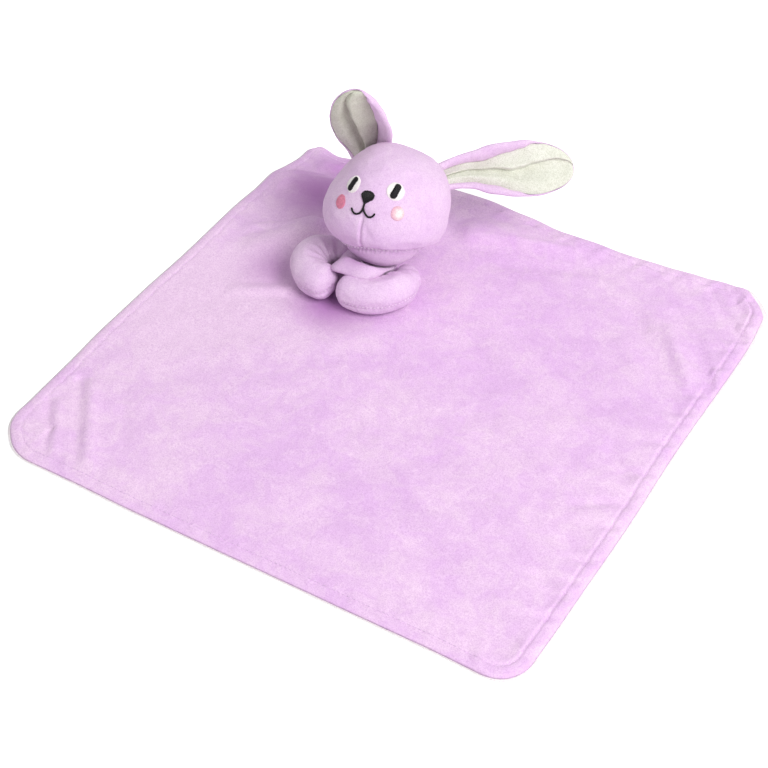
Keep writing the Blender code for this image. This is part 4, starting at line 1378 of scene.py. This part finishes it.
# For each ear: its side, the way it reaches and opens, its half width at root and middle, how
# far it stands to one side of its hinge at root and tip, how much it rises as it leaves the
# head, the width of lavender at either edge, where the crease runs, how near to the crease
# each pad is fullest, and how far each pad swells, in millimetres
EARS = {
    "left": {
        "side": 1,
        "reach": Vector((0.813, 0.576, -0.005)),
        "opens": Vector((0.38, -0.62, 0.68)),
        "half_width": (9.8, 19.6),
        "aside": (1.2, 3.1),
        "rises": 0.0,
        "margins": (
            ((0.0, 5.5), (0.10, 7.0), (0.25, 9.8), (0.45, 7.6), (0.56, 5.2), (0.66, 2.0),
             (0.76, 0.6), (1.0, 0.4)),
            ((0.0, 4.0), (0.10, 5.0), (0.2, 6.3), (0.35, 6.6), (0.5, 4.0), (0.62, 1.2),
             (0.7, 0.5), (1.0, 0.4)),
        ),
        "crease": ((0.0, -0.3), (0.25, -0.28), (0.47, -0.06), (0.70, -0.28), (0.9, -0.55),
                   (1.0, -0.65)),
        "lobes": (2.3, 0.5),
        "pads": (4.6, 3.4),
    },
    "right": {
        "side": -1,
        "reach": Vector((0.113, -0.422, 0.916)),
        "opens": Vector((0.22, -0.93, -0.25)),
        "half_width": (12.8, 22.0),
        "aside": (3.4, 4.6),
        "rises": 1.1,
        "margins": (
            ((0.0, 2.6), (0.2, 1.2), (0.4, 0.6), (1.0, 0.4)),
            ((0.0, 12.0), (0.2, 13.0), (0.45, 13.6), (0.65, 13.0), (0.80, 11.4), (0.90, 8.0),
             (0.97, 3.0), (1.0, 0.5)),
        ),
        "crease": ((0.0, 0.35), (0.3, 0.26), (0.55, 0.08), (0.75, -0.20), (0.9, -0.42),
                   (1.0, -0.5)),
        "lobes": (0.5, 2.4),
        "pads": (3.2, 6.0),
    },
}


# %% The line of an ear
def ear_root(side):
    """The ear's hinge point, and the way that it leaves the head."""
    radii = (HEAD_RADIUS, HEAD_RADIUS, HEAD_HALF_HEIGHT)
    way = Vector((side * EAR_ROOT_WAY[0], EAR_ROOT_WAY[1], EAR_ROOT_WAY[2])).normalized()
    root = way / Vector([w / r for w, r in zip(way, radii)]).length
    normal = Vector([w / r**2 for w, r in zip(way, radii)]).normalized()
    pivot = HEAD_POSE @ (root + normal * (EAR_ROOT_BALL + 0.3 * MM))
    return pivot, (HEAD_POSE.to_3x3() @ normal).normalized()


def ear_rows(ear, count=60):
    """Down the ear: the share of its length, the point, the way on, across, and open.
    The ear starts inside the head, bends past its hinge, and then runs straight."""
    pivot, leaves = ear_root(ear["side"])
    reach, opens = ear["reach"].normalized(), ear["opens"].normalized()
    first = (leaves + reach * ear["rises"]).normalized()
    start = pivot - leaves * EAR_SUNK - reach * 4 * MM * ear["rises"]
    turned = pivot + reach * EAR_LENGTH * EAR_ROOT_SHARE
    span = (turned - start).length
    rows = []
    for share in 1 - (1 - np.linspace(0, 1, count)) ** 1.35:
        if share < EAR_ROOT_SHARE:
            t = share / EAR_ROOT_SHARE
            place = start * (2 * t**3 - 3 * t**2 + 1) + turned * (3 * t**2 - 2 * t**3)
            place += first * span * (t**3 - 2 * t**2 + t) + reach * span * (t**3 - t**2)
            way = start * (6 * t**2 - 6 * t) + turned * (6 * t - 6 * t**2)
            way += first * span * (3 * t**2 - 4 * t + 1) + reach * span * (3 * t**2 - 2 * t)
            way = way.normalized()
        else:
            place, way = turned + reach * EAR_LENGTH * (share - EAR_ROOT_SHARE), reach
        across = way.cross(opens).normalized()
        aside = ear["aside"][0] + (ear["aside"][1] - ear["aside"][0]) * share
        rows.append((float(share), place + across * aside * MM, way, across, across.cross(way)))
    return rows


def ear_width(share, half_width):
    root, widest = (w * MM for w in half_width)
    if share < EAR_WIDEST:
        return root + (widest - root) * math.sin(math.pi / 2 * share / EAR_WIDEST)
    past = (share - EAR_WIDEST) / (1 - EAR_WIDEST)
    return widest * math.sqrt(max(1 - past**2, 0))


# %% A leaf's two faces
LEAST_RING = 5.5 * MM


def leaf_face(rows, half_width, offset, margins=((), ()), columns=61):
    """Points of one face of a leaf. offset gives its height behind the seam, from the share
    down the ear and the place across it, which runs from -1 to 1."""
    sheet = []
    for share, place, way, across, opens in rows:
        curl = math.radians(float(read_curve(EAR_CURL, share)))
        width = ear_width(share, half_width)
        ring = max(width, LEAST_RING) / curl
        low, high = (
            width - (min(float(read_curve(m, share)) * MM, width) if m else 0) for m in margins
        )
        row = []
        for u in np.linspace(-1, 1, columns):
            arc = -low + (high + low) * (u + 1) / 2
            angle = arc / ring
            back = ring + offset(share, u, arc, width)
            point = place + across * (back * math.sin(angle))
            row.append(point + opens * (ring - back * math.cos(angle)))
        sheet.append(row)
    return np.array(sheet)


def close_leaf(name, front, back, finish):
    """A closed mesh between two faces of a leaf."""
    points = np.concatenate([front.reshape(-1, 3), back.reshape(-1, 3)])
    return tidy(make_object(name, points, closed_faces(*front.shape[:2]), finish), 0.01 * MM)


# %% Puff, crease and gathers
def arch(at):
    """From 1 at 0 to 0 at 1, round as a quarter circle."""
    return math.sqrt(max(1 - at**2, 0))


def gathers(share, arc, strength):
    """Small pleats that fan out from the curled root."""
    return strength * math.cos(arc / (1.25 * MM) + 4 * share) * max(1 - share / 0.42, 0) ** 1.5


def tip_fade(share, start=0.86):
    return arch(max((share - start) / (1 - start), 0))


def leaf_back(share, u, arc, width):
    belly = math.cos(math.pi / 2 * u) * math.sin(math.pi * min(share + 0.12, 1)) ** 0.7
    inside = arch(max((abs(u) - 0.80) / 0.20, 0))
    puff = (1.9 * MM + 1.2 * MM * belly) * (0.15 + 0.85 * inside) * (0.2 + 0.8 * tip_fade(share))
    return LEAF_GAP + puff + gathers(share, arc, 0.45 * MM) * inside


def leaf_front(margins):
    """The lavender cloth rolls forward between the lining's edge and the leaf's own."""

    def offset(share, u, arc, width):
        margin = min(float(read_curve(margins[0 if arc < 0 else 1], share)) * MM, width)
        past = (abs(arc) - (width - margin)) / max(margin, 1e-6)
        if past <= 0:
            return 0.25 * MM
        return 0.25 * MM * (1 - past) - min(0.42 * margin, 2.5 * MM) * arch(2 * past - 1) ** 0.8

    return offset


def lining_back(share, u, arc, width):
    return -LEAF_GAP


def lining_front(crease, lobes, pads):
    """Two long pads on either side of a crease. One swells over it, the other falls to it."""

    def offset(share, u, arc, width):
        middle = float(read_curve(crease, share))
        side = 1 if u > middle else 0
        v = (u - middle) / ((1 - middle) if side else (1 + middle))
        pad = math.sin(math.pi * min(abs(v), 1) ** (1 / lobes[side])) ** 0.8
        full = 0.35 + 0.65 * math.sin(math.pi * min(0.12 + 0.8 * share, 1)) ** 0.7
        pinch = math.exp(-((v * width / (1.6 * MM)) ** 2)) * (1.0 - 0.6 * share)
        puff = (pads[side] * pad + 0.8 * arch(u)) * full * tip_fade(share, 0.75)
        puff = MM * (1.0 + puff - 0.8 * pinch) + gathers(share, arc, 0.4 * MM)
        return -LEAF_GAP - puff * (0.12 + 0.88 * arch(u) ** 0.6)

    return offset


# %% Make both ears
def make_ear(name, ear):
    rows = ear_rows(ear)
    body = "ear_" + name
    wide, margins = ear["half_width"], ear["margins"]
    front = leaf_face(rows, wide, leaf_front(margins))
    leaf = close_leaf(body + "_leaf", front, leaf_face(rows, wide, leaf_back), LAVENDER_SOFT)
    kept = [row for row in rows if row[0] < 0.995]
    swollen = lining_front(ear["crease"], ear["lobes"], ear["pads"])
    back = leaf_face(kept, wide, lining_back, margins)
    lining = close_leaf(body + "_inner", leaf_face(kept, wide, swollen, margins), back, CREAM)
    ends = (leaf, "_outer", "lavender_plush"), (lining, "_lining", "cream_plush")
    for piece, node_end, slot in ends:
        points = coordinates(piece)
        uneven = 0.3 * MM * lumps(points, 14 * MM, 41)
        set_coordinates(piece, push(points, normals(piece), uneven))
        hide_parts(body + node_end)
        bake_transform(piece)
    return leaf


for name, ear in EARS.items():
    leaf = make_ear(name, ear)
    print("ear", name, len(leaf.data.polygons), "faces in its leaf")

# %% [markdown]
# ## Floor, camera and light
#
# The photograph looks down at 43 degrees from the bunny's left, with a long lens. The floor
# and the world are white to the camera only, through Light Path, so that they do not flood
# the toy with light. One broad lamp stands high in front and on the viewer's right, as the
# soft shadows behind and to the left of the head and arms show. Two dim ones, in front on the
# left and behind on the right, soften the shade, and the world fills the rest.


# %% Floor and world
FLOOR_REACH = 3.0
FLOOR_GLOW = 0.45
WORLD_FILL = 0.485


def make_floor():
    made, tree, shader = surface("pale_floor", 0.9, gloss=0)
    share = calculate(tree, "MULTIPLY", noise(tree, object_place(tree), 3, 2), 0.03)
    tint = blend_colors(tree, share, (0.93, 0.93, 0.93), (0.8, 0.8, 0.8))
    tree.links.new(tint, shader.inputs["Base Color"])
    seen = tree.nodes.new("ShaderNodeLightPath").outputs["Is Camera Ray"]
    glow = calculate(tree, "MULTIPLY", seen, FLOOR_GLOW)
    shine = blend_colors(tree, glow, (0, 0, 0), (1, 1, 1))
    tree.links.new(shine, shader.inputs["Emission Color"])
    shader.inputs["Emission Strength"].default_value = 1
    square = ((-1, -1), (1, -1), (1, 1), (-1, 1))
    corners = [(FLOOR_REACH * x, FLOOR_REACH * y, 0) for x, y in square]
    return make_object("floor", corners, [(0, 1, 2, 3)], made)


floor = make_floor()

world = bpy.data.worlds.new("studio")
bpy.context.scene.world = world
world.use_nodes = True
tree = world.node_tree
seen = tree.nodes.new("ShaderNodeLightPath").outputs["Is Camera Ray"]
level = node(tree, "ShaderNodeMapRange", {"Value": seen, "To Min": WORLD_FILL, "To Max": 1.0})
background = tree.nodes["Background"]
tree.links.new(level.outputs["Result"], background.inputs["Strength"])
background.inputs["Color"].default_value = (1, 1, 1, 1)


# %% Lamps
LAMP_TARGET = (-0.02, 0.04, 0.02)


def add_lamp(name, place, watts, size):
    lamp = add_object(name, bpy.data.lights.new(name, "AREA"))
    lamp.data.energy = watts
    lamp.data.shape = "DISK"
    lamp.data.size = size
    lamp.location = place
    way = Vector(LAMP_TARGET) - Vector(place)
    lamp.rotation_euler = way.to_track_quat("-Z", "Y").to_euler()


add_lamp("key", (1.88, -0.62, 1.98), 67, 1.6)
add_lamp("left_fill", (-1.10, -1.45, 1.90), 7, 2.4)
add_lamp("back_fill", (1.00, 1.90, 1.60), 7, 2.4)


# %% Camera
PICTURE_PIXELS = 768
FOCAL_PIXELS = 1836
SENSOR = 36


def place_camera(azimuth, elevation, roll, distance, target):
    data = bpy.data.cameras.new("camera")
    data.sensor_width = SENSOR
    data.lens = FOCAL_PIXELS / PICTURE_PIXELS * SENSOR
    back = way_of(azimuth, elevation)
    right = Vector((0, 0, 1)).cross(back).normalized()
    turned = Matrix.Rotation(roll, 3, back)
    right, up = turned @ right, turned @ back.cross(right)
    camera = add_object("camera", data)
    turn = Matrix((right, up, back)).transposed()
    camera.matrix_world = Matrix.Translation(Vector(target) + back * distance) @ turn.to_4x4()
    bpy.context.scene.camera = camera


place_camera(
    math.radians(31.8), math.radians(43.2), math.radians(-1.18), 1.100, (0.001, -0.013, 0)
)
bpy.context.scene.view_settings.view_transform = "Standard"
